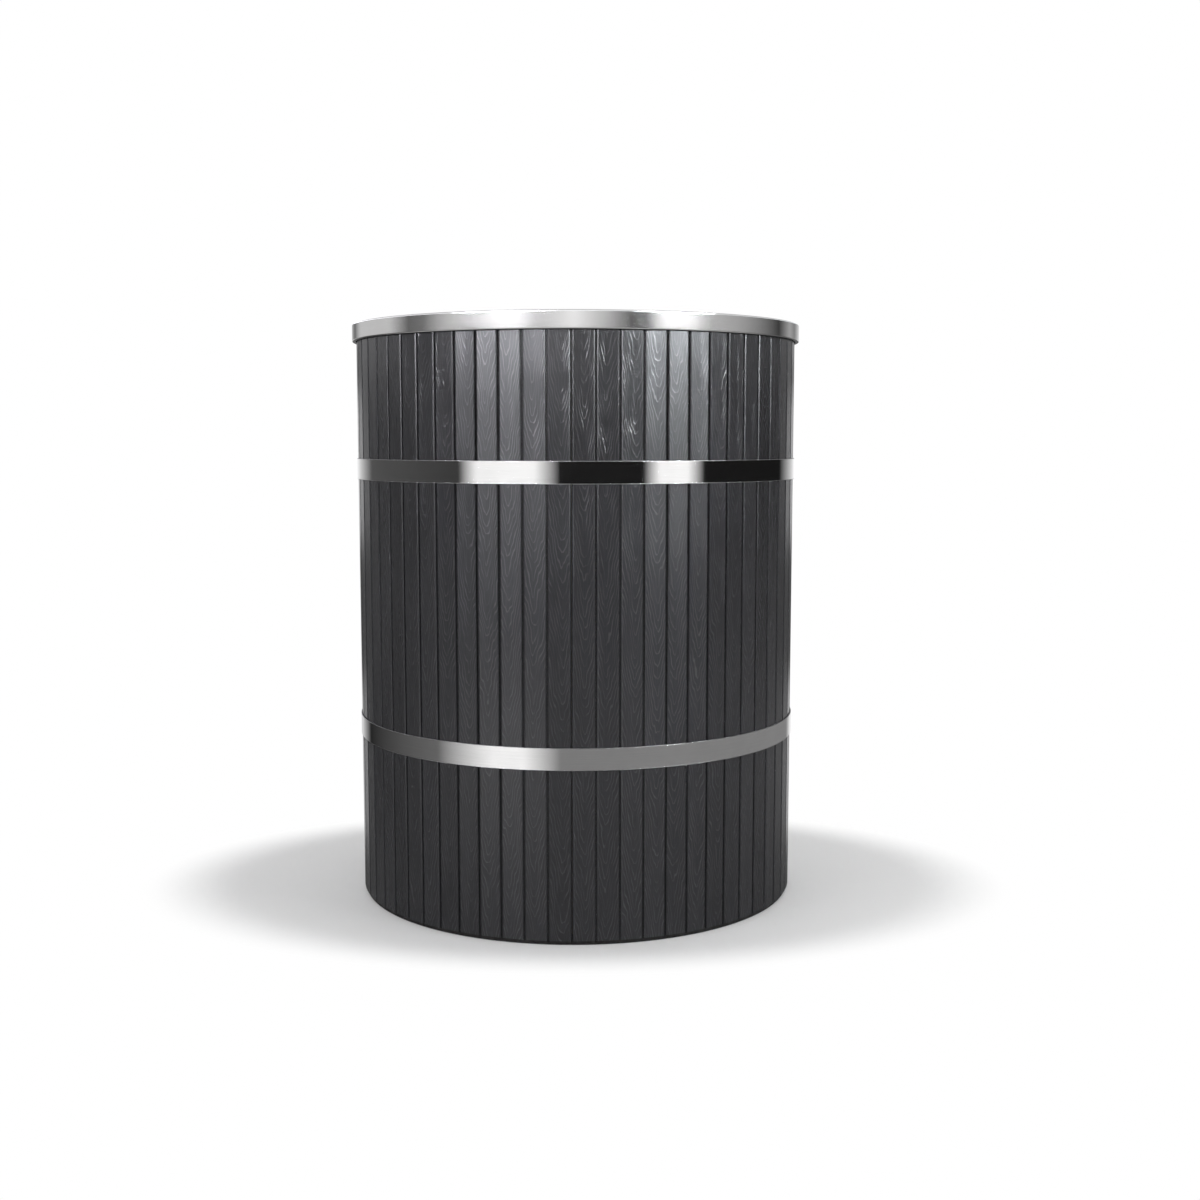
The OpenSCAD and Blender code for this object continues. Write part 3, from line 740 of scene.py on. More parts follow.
def steel_finish(slot, label, colours, rough, around=0.0, seam=0.0, length=12.0, shade=1.0,
                 depth=0.00002, uneven=0.06, wear_and_sheen=1.0, stretch=0.7, painted_shade_height=None, cut=()):
    """Brushed stainless steel. Where around is set, its strokes and its gloss run round the tub's axis.

    Along its lower edge, below a given height, the sheet is painted dark: painted shade that stands in for
    the shade under its lower bend. Each level of cut has a band round it, whose sheared edges are dull."""
    tree, shader = new_finish(slot, label)
    if around:
        place = group(tree, "Round the tub", Radius=around)["Vector"]
    else:
        place = object_place(tree)
    brush = group(tree, "Brushing", Vector=place, Strokes=900.0, Length=length)
    marks = group(tree, "Handling")
    tint = Vector(colours.steel) * shade
    dim = plus(times(brush["Stroke"], 0.35), times(brush["Cloud"], 0.65))
    tone = blended(between(dim, 0.3, 0.7), tint * 0.93, tint * 1.04)
    bite = between(brush["Stroke"], 0.25, 0.75, rough - uneven / 2, rough + uneven / 2)
    bite = raised(bite, marks["Smudge"], uneven * 0.8)
    bite = raised(bite, marks["Scratch"], uneven * wear_and_sheen)
    x, y, z = split(object_place(tree))
    if seam:
        off = calc("ABSOLUTE", minus(calc("ARCTAN2", y, x), seam))
        ground = times(between(off, 0.014, 0.009),
                       calc("GREATER_THAN", z, SEAM_START))
        bite = raised(bite, ground, 0.1)
        tone = blended(times(ground, 0.5), tone, tint * 0.86)
    # Painted shade: below the given height the colour turns almost black, standing in for the shade under the
    # sheet's lower bend.
    if painted_shade_height:
        painted_shade = between(z, painted_shade_height, painted_shade_height - 0.0006)
        bite = raised(bite, painted_shade, 0.3)
        tone = blended(painted_shade, tone, tint * 0.05)
    for level in cut:
        off = calc("ABSOLUTE", minus(z, level))
        edge = times(between(off, BAND_WIDE / 2 - 0.0009, BAND_WIDE / 2 - 0.0005),
                     calc("LESS_THAN", off, BAND_WIDE))
        bite = raised(bite, edge, 0.4)
        tone = blended(edge, tone, tint * 0.3)
    feed(shader, Base_Color=tone, Metallic=1.0, Roughness=bite,
         Normal=bumped(brush["Stroke"], depth))
    if around:
        tangent = put(tree, "Tangent", direction_type="RADIAL", axis="Z").outputs[0]
        feed(shader, Anisotropic=stretch, Anisotropic_Rotation=0.25, Tangent=tangent)
    return tree


def cast_finish(slot, label, colours, rough, shade):
    """Investment-cast steel, blasted to an even sparkle."""
    tree, shader = new_finish(slot, label)
    place = object_place(tree)
    pits = noise(place, 1400.0, 3.0, 0.7)
    swell = noise(place, 90.0, 2.0)
    marks = group(tree, "Handling", Smudge_size=40.0)
    tint = Vector(colours.steel) * shade
    tone = blended(between(swell, 0.35, 0.65), tint * 0.9, tint * 1.05)
    bite = raised(between(pits, 0.3, 0.7, rough - 0.06, rough + 0.06), marks["Smudge"], 0.06)
    height = raised(pits, swell, 1.5)
    feed(shader, Base_Color=tone, Metallic=1.0, Roughness=bite, Normal=bumped(height, 0.00006))


def moulded_finish(slot, label, colour, rough, size, depth, lift=1.5):
    """Moulded plastic, vinyl or rubber with a fine skin and dulled patches."""
    tree, shader = new_finish(slot, label)
    skin = noise(object_place(tree), size, 2.0)
    marks = group(tree, "Handling", Smudge_size=30.0)
    paler = [c * lift + 0.004 for c in colour]
    dull = plus(times(marks["Smudge"], 0.6), times(marks["Scratch"], 0.4), clamp=True)
    tone = blended(dull, colour, paler)
    bite = raised(between(skin, 0.3, 0.7, rough - 0.05, rough + 0.05), marks["Smudge"], 0.08)
    feed(shader, Base_Color=tone, Roughness=bite, Normal=bumped(skin, depth))
    return shader


def foam_finish():
    """Closed-cell foam: pale, with round cells."""
    tree, shader = new_finish("foam", "Poured foam")
    place = object_place(tree)
    cells = put(tree, "TexVoronoi", {"Vector": place, "Scale": 420.0}).outputs["Distance"]
    aged = noise(place, 16.0, 3.0)
    tone = blended(between(aged, 0.35, 0.65), (0.72, 0.62, 0.36), (0.78, 0.72, 0.5))
    feed(shader, Base_Color=tone, Roughness=between(cells, 0.0, 0.8, 0.95, 0.8),
         Normal=bumped(cells, 0.0006))


def weld_finish(colours):
    """Weld bead with straw and blue heat tint."""
    tree, shader = new_finish("weld", "Weld bead")
    heat = noise(object_place(tree), 45.0, 2.0)
    straw = blended(between(heat, 0.42, 0.6), Vector(colours.steel) * 0.85, (0.62, 0.5, 0.3))
    tone = blended(between(heat, 0.6, 0.72), straw, (0.3, 0.34, 0.46))
    feed(shader, Base_Color=tone, Metallic=1.0, Roughness=between(heat, 0.3, 0.7, 0.24, 0.36))


def mix_finishes(sizes, colours):
    """Builds the groups and every material."""
    for make in (ring_coordinates, board_grain, brushing, handling):
        make()
    stave_finish(sizes, colours)
    # The rim's dark strip along its lower edge is painted shade.
    steel_finish("rim_steel", "Brushed rim", colours, colours.rim_rough, around=0.4, seam=math.radians(75),
                 uneven=0.012, depth=0.0000008, wear_and_sheen=0.6, stretch=0.2, painted_shade_height=RIM_LOW + 0.0012)
    steel_finish("band_steel", "Satin band", colours, colours.band_rough, around=0.4, uneven=0.01,
                 depth=0.0000005, wear_and_sheen=0.0, stretch=0.3, cut=BAND_LEVELS.values())
    steel_finish("vessel_steel", "Brushed vessel", colours, 0.3, around=VESSEL_IN, seam=math.radians(80),
                 shade=0.9)
    steel_finish("fitting_steel", "Machined fitting", colours, 0.22, length=300.0, shade=0.9)
    steel_finish("fastener_steel", "Plain fastener", colours, 0.28, length=500.0, shade=0.82)
    steel_finish("ball_steel", "Polished steel", colours, 0.08, length=700.0, uneven=0.03, shade=1.02)
    cast_finish("valve_steel", "Blasted casting", colours, 0.36, 0.86)
    brass = steel_finish("brass", "Plain brass", colours, 0.26, length=300.0)
    for node in [n for n in brass.nodes if n.type == "MIX"]:
        node.inputs[6].default_value = (0.56, 0.38, 0.14, 1)
        node.inputs[7].default_value = (0.72, 0.52, 0.22, 1)
    moulded_finish("black_plastic", "Black moulding", (0.013, 0.013, 0.014), 0.46, 1500.0, 0.00005)
    moulded_finish("dark_board", "Dark board", (0.03, 0.03, 0.03), 0.66, 500.0, 0.0001)
    rubber = moulded_finish("rubber", "Black rubber", (0.005, 0.0045, 0.004), 0.72, 700.0, 0.0001)
    feed(rubber, Specular_IOR_Level=0.15)
    moulded_finish("grip_vinyl", "Dipped vinyl", tuple(colours.vinyl), 0.34, 420.0, 0.00012)
    foam_finish()
    weld_finish(colours)


# Pieces of the tub
def make_staves(sizes):
    """One board is shaped, and set round the tub in nine panels, drilled where the water lines leave."""
    shelf = STAVE_FACE - GROOVE_DEEP
    half_in, half_shelf, half_out = (
        r * math.tan(STAVE_PITCH / 2) - STAVE_GAP / 2 for r in (STAVE_BACK, shelf, STAVE_FACE))
    half_face = half_out - GROOVE_SIDE
    fall = sizes.stave_edge * math.tan(math.radians(30))
    board = block("board", (STAVE_BACK, -half_in, STAVE_LOW), (shelf, half_in, STAVE_TOP))
    edit(board)
    pick("faces", lambda f: f.normal.x > 0.9)
    widen(half_shelf / half_in)
    push(0)
    widen(half_face / half_shelf)
    push(GROOVE_DEEP - fall)
    push(fall)
    widen(1 - sizes.stave_edge / half_face)
    everything()
    bpy.ops.mesh.dissolve_degenerate(threshold=1e-6)
    pick("edges", lambda e: runs(e, 2) and ends(e)[0].x > shelf + OVERRUN)
    rounded(sizes.sheet_edge * 0.7, 2)
    done()
    for panel in range(PANELS):
        boards = []
        for i in range(PANEL_STAVES):
            copy = twin(board, "copy")
            boards.append(settle(copy, angle=FRONT + STAVE_PITCH * (0.5 + i + panel * PANEL_STAVES)))
        piece = joined(f"staves_{panel + 1}", boards)
        first = FRONT + STAVE_PITCH * panel * PANEL_STAVES
        for line, (angle, height) in LINES.items():
            if first < angle < first + STAVE_PITCH * PANEL_STAVES:
                combine(piece, drill(LINE_HOLE_R, STAVE_BACK - LONG_OVERRUN, STAVE_FACE + LONG_OVERRUN,
                                     **outward(line)))
        finished(piece, "stave", stands_for=[f"stave_panel_{panel + 1}"])
    discard(board)


def make_rim(sizes):
    """Folded rim cap: lip, rounded top, skirt and the return flange under it."""
    s = RIM_SHEET
    outline = [(RIM_IN, LIP_LOW), (RIM_IN, RIM_TOP), (RIM_OUT, RIM_TOP), (RIM_OUT, RIM_LOW),
               (RIM_FLANGE_IN, RIM_LOW), (RIM_FLANGE_IN, RIM_LOW + s), (RIM_OUT - s, RIM_LOW + s),
               (RIM_OUT - s, RIM_TOP - s), (RIM_IN + s, RIM_TOP - s), (RIM_IN + s, LIP_LOW)]
    rounds = {sizes.rim_corner: (1, 2), sizes.rim_corner - s: (7, 8), RIM_LOW_BEND: (3,),
              sizes.turned_edge: (0, 4, 5, 6, 9)}
    finished(turned("rim_ring", outline, rounds, steps=RING_STEPS), "rim_steel", stands_for=["rim_cap"])


def make_band(name, level, sizes):
    """A band with its two welded ears."""
    s = BAND_SHEET
    slack = math.asin(BAND_GAP / 2 / BAND_OUT)
    low, high = level - BAND_WIDE / 2, level + BAND_WIDE / 2
    hoop = turned(name, [(BAND_OUT - s, low), (BAND_OUT, low), (BAND_OUT, high), (BAND_OUT - s, high)],
                  {sizes.sheet_edge: (0, 1, 2, 3)}, steps=RING_STEPS, arc=math.tau - 2 * slack)
    settle(hoop, angle=BAND_ENDS + slack)
    parts = [hoop]
    sink, half, rise, inset, bend = 0.0006, 0.0018, 0.0022, 0.002, 0.0014
    for side in (-1, 1):
        near, far = side * BAND_GAP / 2, side * (BAND_GAP / 2 + EAR_SHEET)
        ear = block("ear", (BAND_OUT - s / 2, min(near, far), low),
                    (BAND_OUT + EAR_OUT, max(near, far), high))
        edit(ear)
        pick("edges", lambda e: runs(e, 1) and ends(e)[0].x > BAND_OUT)
        rounded(EAR_CORNER, 8)
        done()
        combine(ear, drill(EAR_HOLE_R, -2 * LONG_OVERRUN, 2 * LONG_OVERRUN, out=EAR_MIDDLE, height=level,
                           roll=math.pi / 2))
        eased(ear, sizes.sheet_edge)
        weld = block("weld", (BAND_OUT - sink, far - half, low + inset),
                     (BAND_OUT + rise, far + half, high - inset))
        edit(weld)
        bpy.ops.mesh.subdivide(number_cuts=1)
        pick("edges", lambda e: runs(e, 2) and abs(ends(e)[0].y - far) > half / 2)
        rounded(bend, 4)
        done()
        parts += [settle(ear, angle=BAND_ENDS), settle(eased(weld, sizes.sheet_edge), angle=BAND_ENDS)]
    finished(joined(name, parts), "band_steel", stands_for=[name.replace("_hoop", "_band")])


def make_bolt_sets(sizes):
    """Bolt, two washers and a nut at each band's ears."""
    ear = BAND_GAP / 2 + EAR_SHEET
    seat = ear + WASHER
    end = seat + NUT_TALL + BOLT_SPARE
    lead, cuts = 0.0008, (0.0003, 0.0007, 0.0009)
    bolt = hexagon("bolt", BOLT_HEX, seat, seat + BOLT_HEAD)
    threads, low = thread(BOLT_R, BOLT_R - THREAD_DEEP, lead - end, -ear - cuts[2], BOLT_PITCH, cuts)
    shank = [(0, -end), (BOLT_R - 0.0006, -end), *threads, (BOLT_R, low), (BOLT_R, seat + END_GAP),
             (0, seat + END_GAP)]
    bolt = joined("bolt", [bolt, turned("shank", shank, steps=32)])
    bore = BOLT_R + 0.0001
    washers = [turned("washer", [(bore, z), (WASHER_R, z), (WASHER_R, z + WASHER), (bore, z + WASHER)],
                      {sizes.sheet_edge: (0, 1, 2, 3)}, steps=48) for z in (ear, -seat)]
    washer = joined("washer", washers)
    nut = hexagon("nut", BOLT_HEX, -seat - NUT_TALL, -seat, bore=bore)
    sets = {"band_bolt_pair": ("band_bolts", bolt), "band_washer_set": ("band_washers", washer),
            "band_nut_pair": ("band_nuts", nut)}
    for name, (node, model) in sets.items():
        pair = [settle(twin(model, "copy"), angle=BAND_ENDS, out=EAR_MIDDLE, height=level, roll=math.pi / 2)
                for level in BAND_LEVELS.values()]
        finished(joined(name, pair), "fastener_steel", stands_for=[node])
    discard(bolt, washer, nut)


def make_vessel(sizes):
    """Vessel wall with its flange, floor with the drain's recess, and the weld between them."""
    top, outside = STAVE_TOP + SHEET, VESSEL_IN + SHEET
    wall = turned("vessel_shell", [
        (VESSEL_IN, FLOOR_TOP), (VESSEL_IN, top), (VESSEL_FLANGE, top), (VESSEL_FLANGE, STAVE_TOP),
        (outside, STAVE_TOP), (outside, FLOOR_TOP)],
        {FLANGE_BEND: (1,), FLANGE_BEND - SHEET: (4,), CUT_EDGE: (2, 3)}, steps=RING_STEPS)
    for line in ("return", "suction"):
        combine(wall, drill(LINE_HOLE_R, VESSEL_IN - 3 * LONG_OVERRUN, VESSEL_IN + 2 * LONG_OVERRUN,
                            **outward(line)))
    finished(wall, "vessel_steel", stands_for=["vessel_wall"])
    finished(recast("vessel_base", "vessel_floor", SOFT_EDGE), "vessel_steel", stands_for=["vessel_floor"])
    sink, lift = 0.0003, 0.0004
    weld = bead("floor_weld", VESSEL_IN - sink, sizes.weld, FLOOR_TOP + lift, steps=720)
    finished(weld, "vessel_steel")
    weld.data.materials[0] = FINISHES["weld"]


def make_base():
    """Rubber mat under the staves."""
    reach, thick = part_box("base_mat")[1].x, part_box("base_mat")[1].z
    outline = [(0, 0), (reach, 0), (reach, thick), (0, thick)]
    finished(turned("rubber_mat", outline, {MAT_EDGE: (1, 2)}, steps=192), "rubber", stands_for=["base_mat"])


def make_seat():
    """Bench seat with its folded front edge, and its brackets."""
    def along_fold(edge, inset):
        """True if an edge runs along the fold, that far inside the seat's outer faces."""
        away = [abs(p.x - SEAT_FRONT - inset) + abs(p.z - SEAT_TOP + inset) for p in ends(edge)]
        return runs(edge, 1) and max(away) < 1e-4

    def fold():
        pick("edges", lambda e: along_fold(e, 0))
        rounded(SEAT_BEND, 6)
        pick("edges", lambda e: along_fold(e, SHEET))
        rounded(SEAT_BEND - SHEET, 4)

    for name, node, shape in (("seat_plate", "bench_seat", fold), ("seat_gussets", "seat_brackets", None)):
        finished(recast(name, node, CUT_EDGE, before=shape), "vessel_steel", stands_for=[node])


def wall_ring(name, wide, rise, crown, rounds):
    """A ring that lies on the staves round a water line and slopes up to its crown."""
    top = STAVE_FACE + WALL_RING_TALL
    return turned(name, [(SOCKET_R, STAVE_FACE), (wide, STAVE_FACE), (wide, STAVE_FACE + rise), (crown, top),
                         (SOCKET_R, top)], rounds)


def valve_tail(name, nose, bore, rounds=None):
    """What is screwed into a valve's outer end: its thread, its hexagon, and the outline of its nose."""
    start = TAIL_IN - TAIL_THREAD
    outline = [(TAIL_BORE, start), (THREAD_R, start), (THREAD_R, TAIL_IN + TAIL_LAP), *nose]
    return combine(turned(name, outline, rounds),
                   hexagon("hex", TAIL_HEX_WIDE, TAIL_IN, TAIL_NOSE, bore=bore), "UNION")


def make_strainer():
    """Lift-out strainer plate with its turned knob."""
    low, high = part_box("drain_strainer")
    top = low.z + STRAINER_PLATE

    def bare():
        pick("verts", lambda v: v.co.z > top + CUT_EDGE)
        bpy.ops.mesh.delete(type="VERT")
        close_holes()

    plate = recast("plate", "drain_strainer", CUT_EDGE, before=bare)
    head, neck, waist, sink = 0.005, 0.0036, 0.0033, 0.0002
    knob = turned("knob", [
        (0, top - sink), (head, top - sink), (neck, top + 0.0025), (waist, top + 0.0042),
        (head, top + 0.0062), (head, high.z - 0.0006), (0, high.z)], {0.0007: (2, 3, 4, 5)}, steps=48)
    settle(knob, angle=math.pi / 2, out=DRAIN_Y)
    finished(joined("strainer_plate", [plate, knob]), "fitting_steel", "strainer", ["drain_strainer"])


def make_cap(nose):
    """Screw cap of the drain, with a rib between each two hollows round its side."""
    low, high = nose + FINE_EDGE, nose + SPOUT_LONG + END_GAP + CAP_FLOOR
    cap = tube_block("ribbed_cap", CAP_FACETS, CAP_R, low, high)

    def hollow(face):
        """True for every third facet of the side."""
        middle = face.calc_center_median()
        number = round(math.atan2(middle.y, middle.x) / math.tau * CAP_FACETS - 0.5)
        return abs(face.normal.z) < 0.05 and number % 3 == 0

    edit(cap)
    pick("edges", lambda e: not runs(e, 2) and ends(e)[0].z > (low + high) / 2)
    rounded(CAP_BEND, 4)
    pick("faces", hollow)
    bpy.ops.mesh.inset(use_individual=True, thickness=FINE_EDGE, depth=-CUT_EDGE)
    done()
    combine(cap, drill(CAP_BORE, nose - 2 * OVERRUN, nose + SPOUT_LONG + END_GAP))
    finished(settle(cap, **outward("drain")), "black_plastic", "cap", ["drain_cap"])


def make_drain():
    """Strainer, cover plate on the staves, threaded spout and ribbed cap."""
    make_strainer()
    cover = wall_ring("cover_plate", 0.025, 0.0012, 0.0195, {SOFT_EDGE: (2, 3), FINE_EDGE: (1, 4)})
    finished(settle(cover, **outward("drain")), "fitting_steel", stands_for=["drain_cover_plate"])
    nose, tip = TAIL_NOSE, TAIL_NOSE + SPOUT_LONG
    pitch, crest, root, neck = 0.0020, 0.0132, 0.0123, 0.0122
    threads = thread(crest, root, nose + pitch, tip - 0.0024, pitch, (0.0005, 0.0012, 0.0015))[0]
    spout = valve_tail("spout", [
        (neck, nose - TAIL_LAP), (neck, nose + 0.0016), *threads, (0.0124, tip - 0.0006), (0.0118, tip),
        (TAIL_BORE, tip)], bore=0.0112)
    finished(settle(spout, **outward("drain")), "brass", stands_for=["drain_spout"])
    make_cap(nose)


def make_ports(sizes):
    """Wall fittings, lock nuts and hose tails of the return and suction lines, and the suction grille."""
    inner, barrel_end = FITTING_IN, VALVE_IN + SOCKET_DEEP - END_GAP
    fitting = turned("fitting", [
        (BORE_R, inner), (FITTING_FLANGE_R, inner), (FITTING_FLANGE_R, inner + FITTING_FLANGE),
        (THREAD_R, inner + FITTING_FLANGE), (THREAD_R, barrel_end), (BORE_R, barrel_end)],
        {0.002: (0, 1), sizes.turned_edge: (2,), sizes.sheet_edge: (4,)})
    tall, half, start, end = 0.0025, 0.0012, inner + 0.003, inner + 0.011
    for turn in (0.0, math.pi):
        lug = block("lug", (BORE_R - tall, -half, start), (BORE_R + OVERRUN, half, end))
        fitting = joined("fitting", [fitting, settle(eased(lug, FINE_EDGE), turn=turn)])
    collar = wall_ring("collar", 0.030, 0.0022, 0.0235, {SOFT_EDGE: (2,), sizes.sheet_edge: (1,)})
    flats = hexagon("hex", LOCKNUT_HEX, STAVE_FACE + FINE_EDGE, STAVE_FACE + LOCKNUT_TALL, bore=SOCKET_R)
    nut = combine(collar, flats, "UNION")
    barbs = []
    for k in range(BARBS):
        end = TAIL_NOSE + TAIL_PLAIN + BARB_LONG * (k + 1)
        barbs += [(TAIL_R - BARB_DEEP, end), (TAIL_R, end + 0.0001)]
    tail = valve_tail("tail", [
        (TAIL_R, TAIL_NOSE - 0.0005), (TAIL_R, TAIL_NOSE + TAIL_PLAIN), *barbs[:-1],
        (TAIL_BORE, TAIL_NOSE + TAIL_PLAIN + BARB_LONG * BARBS)], bore=0.0115, rounds={FINE_EDGE: (6, 8, 9)})
    for line in ("return", "suction"):
        for kind, model in (("fitting", fitting), ("locknut", nut), ("hose_tail", tail)):
            piece = settle(twin(model, f"{line}_{kind}_dressed"), **outward(line))
            finished(piece, "fitting_steel", stands_for=[f"{line}_{kind}"])
    grille = recast("grille_cup", "suction_grille", sizes.turned_edge)
    finished(grille, "fitting_steel", stands_for=["suction_grille"])
    discard(fitting, nut, tail)


def valve_shell(sizes):
    """Body of a ball valve on X: barrel, collars, hexagonal ends, boss, and its bores."""
    long, neck, belly = VALVE_LONG, 0.0195, 0.024
    start, shoulder, full = 0.010, 0.016, 0.0195
    shell = turned("shell", [
        (0, start), (neck, start), (neck, shoulder), (belly, full), (belly, long - full),
        (neck, long - shoulder), (neck, long - start), (0, long - start)], {0.0025: (2, 3, 4, 5)})
    for low in (0, long - HEX_LONG):
        combine(shell, hexagon("hex", VALVE_HEX, low, low + HEX_LONG), "UNION")
    settle(shell, tilt=math.pi / 2)
    foot_r, waist_r, top_r, low = 0.0135, 0.0105, 0.009, 0.004
    boss = turned("boss", [
        (0, low), (foot_r, low), (waist_r, 0.026), (top_r, 0.0285), (top_r, BOSS_TOP), (0, BOSS_TOP)],
        {0.0015: (2, 3), sizes.turned_edge: (4,)}, steps=64)
    combine(shell, settle(boss, out=VALVE_MIDDLE), "UNION")
    before, beyond = -OVERRUN, long + OVERRUN
    for radius, low, high in ((SOCKET_R, before, SOCKET_DEEP), (SOCKET_R, long - SOCKET_DEEP, beyond),
                              (BORE_R, before, beyond)):
        combine(shell, drill(radius, low, high, tilt=math.pi / 2))
    combine(shell, fresh("uv_sphere", "ball", segments=48, ring_count=24, radius=BALL_ROOM_R,
                         location=(VALVE_MIDDLE, 0, 0)))
    return combine(shell, drill(STEM_R + STEM_ROOM, 0, BOSS_TOP + 2 * OVERRUN, out=VALVE_MIDDLE))


def valve_lever():
    """Pressed lever on X with its upward step and its hub, whose stem stands at the origin."""
    low, high = LEVER_LOW, LEVER_LOW + LEVER_SHEET
    step_in, step_out, slant = 0.018, 0.034, LEVER_SHEET / 2
    lever = drawn("lever", [
        (0, low), (step_in, low), (step_out, low + LEVER_RISE), (LEVER_LONG, low + LEVER_RISE),
        (LEVER_LONG, high + LEVER_RISE), (step_out - slant, high + LEVER_RISE), (step_in - slant, high),
        (0, high)], {0.003: (1, 2, 5, 6)}, y=-LEVER_WIDE / 2)
    bpy.ops.mesh.edge_face_add()
    push(0, LEVER_WIDE)
    everything()
    bpy.ops.mesh.normals_make_consistent(inside=False)
    pick("edges", lambda e: runs(e, 2) and ends(e)[0].x > LEVER_LONG - CUT_EDGE)
    rounded(0.006, 6)
    done()
    proud = 0.00001
    combine(lever, tube_block("hub", 72, HUB_R, low - proud, high + proud), "UNION")
    combine(lever, drill(STEM_R + LEVER_ROOM, low - 2 * OVERRUN, high + 2 * OVERRUN))
    return eased(lever, CUT_EDGE, angle=50)


def lever_grip():
    """Dipped grip over the lever's end, with its rolled lip."""
    start, end, middle = 0.0448, 0.1068, LEVER_LOW + LEVER_RISE + LEVER_SHEET / 2
    wide, thick, lip = 0.0130, 0.0032, 0.004
    grip = block("grip", (start + lip, -wide, middle - thick), (end, wide, middle + thick))
    edit(grip)
    pick("faces", lambda f: f.normal.x < -0.9)
    push(-0.0012)
    widen(1.02, 1.03)
    push(-0.0028)
    pick("edges", lambda e: not runs(e, 1) and not runs(e, 2))
    rounded(0.003, 5)
    pick("faces", lambda f: f.normal.x > 0.9)
    rounded(0.002, 4)
    done()
    wide, thick = LEVER_WIDE / 2 + 0.0001, LEVER_SHEET / 2 + 0.0001
    slot = block("slot", (start - 0.002, -wide, middle - thick), (end - 0.0017, wide, middle + thick))
    return eased(combine(grip, slot), FINE_EDGE, angle=50)


def valve_stem():
    """Stem with a rolled thread above the lever."""
    high = LEVER_LOW + LEVER_SHEET
    top = high + LEVER_NUT_TALL + 0.0025
    chamfer = 0.0007
    threads = thread(STEM_R, STEM_R - THREAD_DEEP, high + 0.0004, top - 0.001, 0.001,
                     (0.0002, 0.0005, 0.0007))[0]
    return turned("stem", [
        (0, STEM_LOW), (STEM_R, STEM_LOW), (STEM_R, high), *threads, (STEM_R, top - chamfer),
        (STEM_R - chamfer, top), (0, top)], steps=48)


def make_valves(sizes):
    """Ball valve bodies, and the stem, lever, grip and nut that turn."""
    shell, lever, grip, stem = valve_shell(sizes), valve_lever(), lever_grip(), valve_stem()
    high = LEVER_LOW + LEVER_SHEET
    nut = hexagon("nut", LEVER_NUT_HEX, high, high + LEVER_NUT_TALL, bore=STEM_R + LEVER_ROOM)
    for line, (angle, height) in LINES.items():
        body = settle(twin(shell, f"{line}_body_dressed"), angle=angle, out=VALVE_IN, height=height)
        finished(body, "valve_steel", stands_for=[f"{line}_valve_body"])
        rest = -math.pi / 2 if line == "drain" else 0.0
        for kind, model, slot in (("stem", stem, "ball_steel"), ("lever", lever, "valve_steel"),
                                  ("grip", grip, "grip_vinyl"), ("nut", nut, "fastener_steel")):
            piece = settle(twin(model, f"{line}_{kind}_dressed"), angle=angle, out=VALVE_IN + VALVE_MIDDLE,
                           height=height, turn=rest)
            finished(piece, slot, f"{line}_lever_set", [f"{line}_valve_{kind}"])
    discard(shell, stem, lever, grip, nut)


def dress_kept_nodes():
    """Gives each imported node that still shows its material, by its slot in the record."""
    slots = {part["node"]: part["material_slot"] for part in frame["record"]["subparts"]}
    for name, node in frame["nodes"].items():
        if not node.hide_render:
            for place in node.material_slots:
                place.material = FINISHES[slots[name]]


# Stage
LAMPS = {"left": ((-2.6, -2.4, 2.4), 1.8), "right": ((2.8, -1.8, 2.2), 1.6), "top": ((0.2, 0.6, 3.4), 2.6)}
CAMERA_PLACE = (0.0579, -2.9097, 0.8523)
CAMERA_TURN = (math.radians(83.96), 0, math.radians(0.25))
SENSOR = 36.0


def walls_of(tree, turn, name, stops, left=(1, 1, 1.01), right=(1, 1, 1.01)):
    """A ring of panels and dark walls as a ramp over the angle from the front, in degrees."""
    made = put(tree, "ValToRGB", {"Fac": turn}, label=name)
    ramp = made.color_ramp
    while len(ramp.elements) < len(stops):
        ramp.elements.new(0.5)
    for element, (degrees, level) in zip(ramp.elements, stops):
        element.position = degrees / 360 + 0.5
        element.color = (*(level * part for part in (left if degrees < 0 else right)), 1)
    return made.outputs[0]


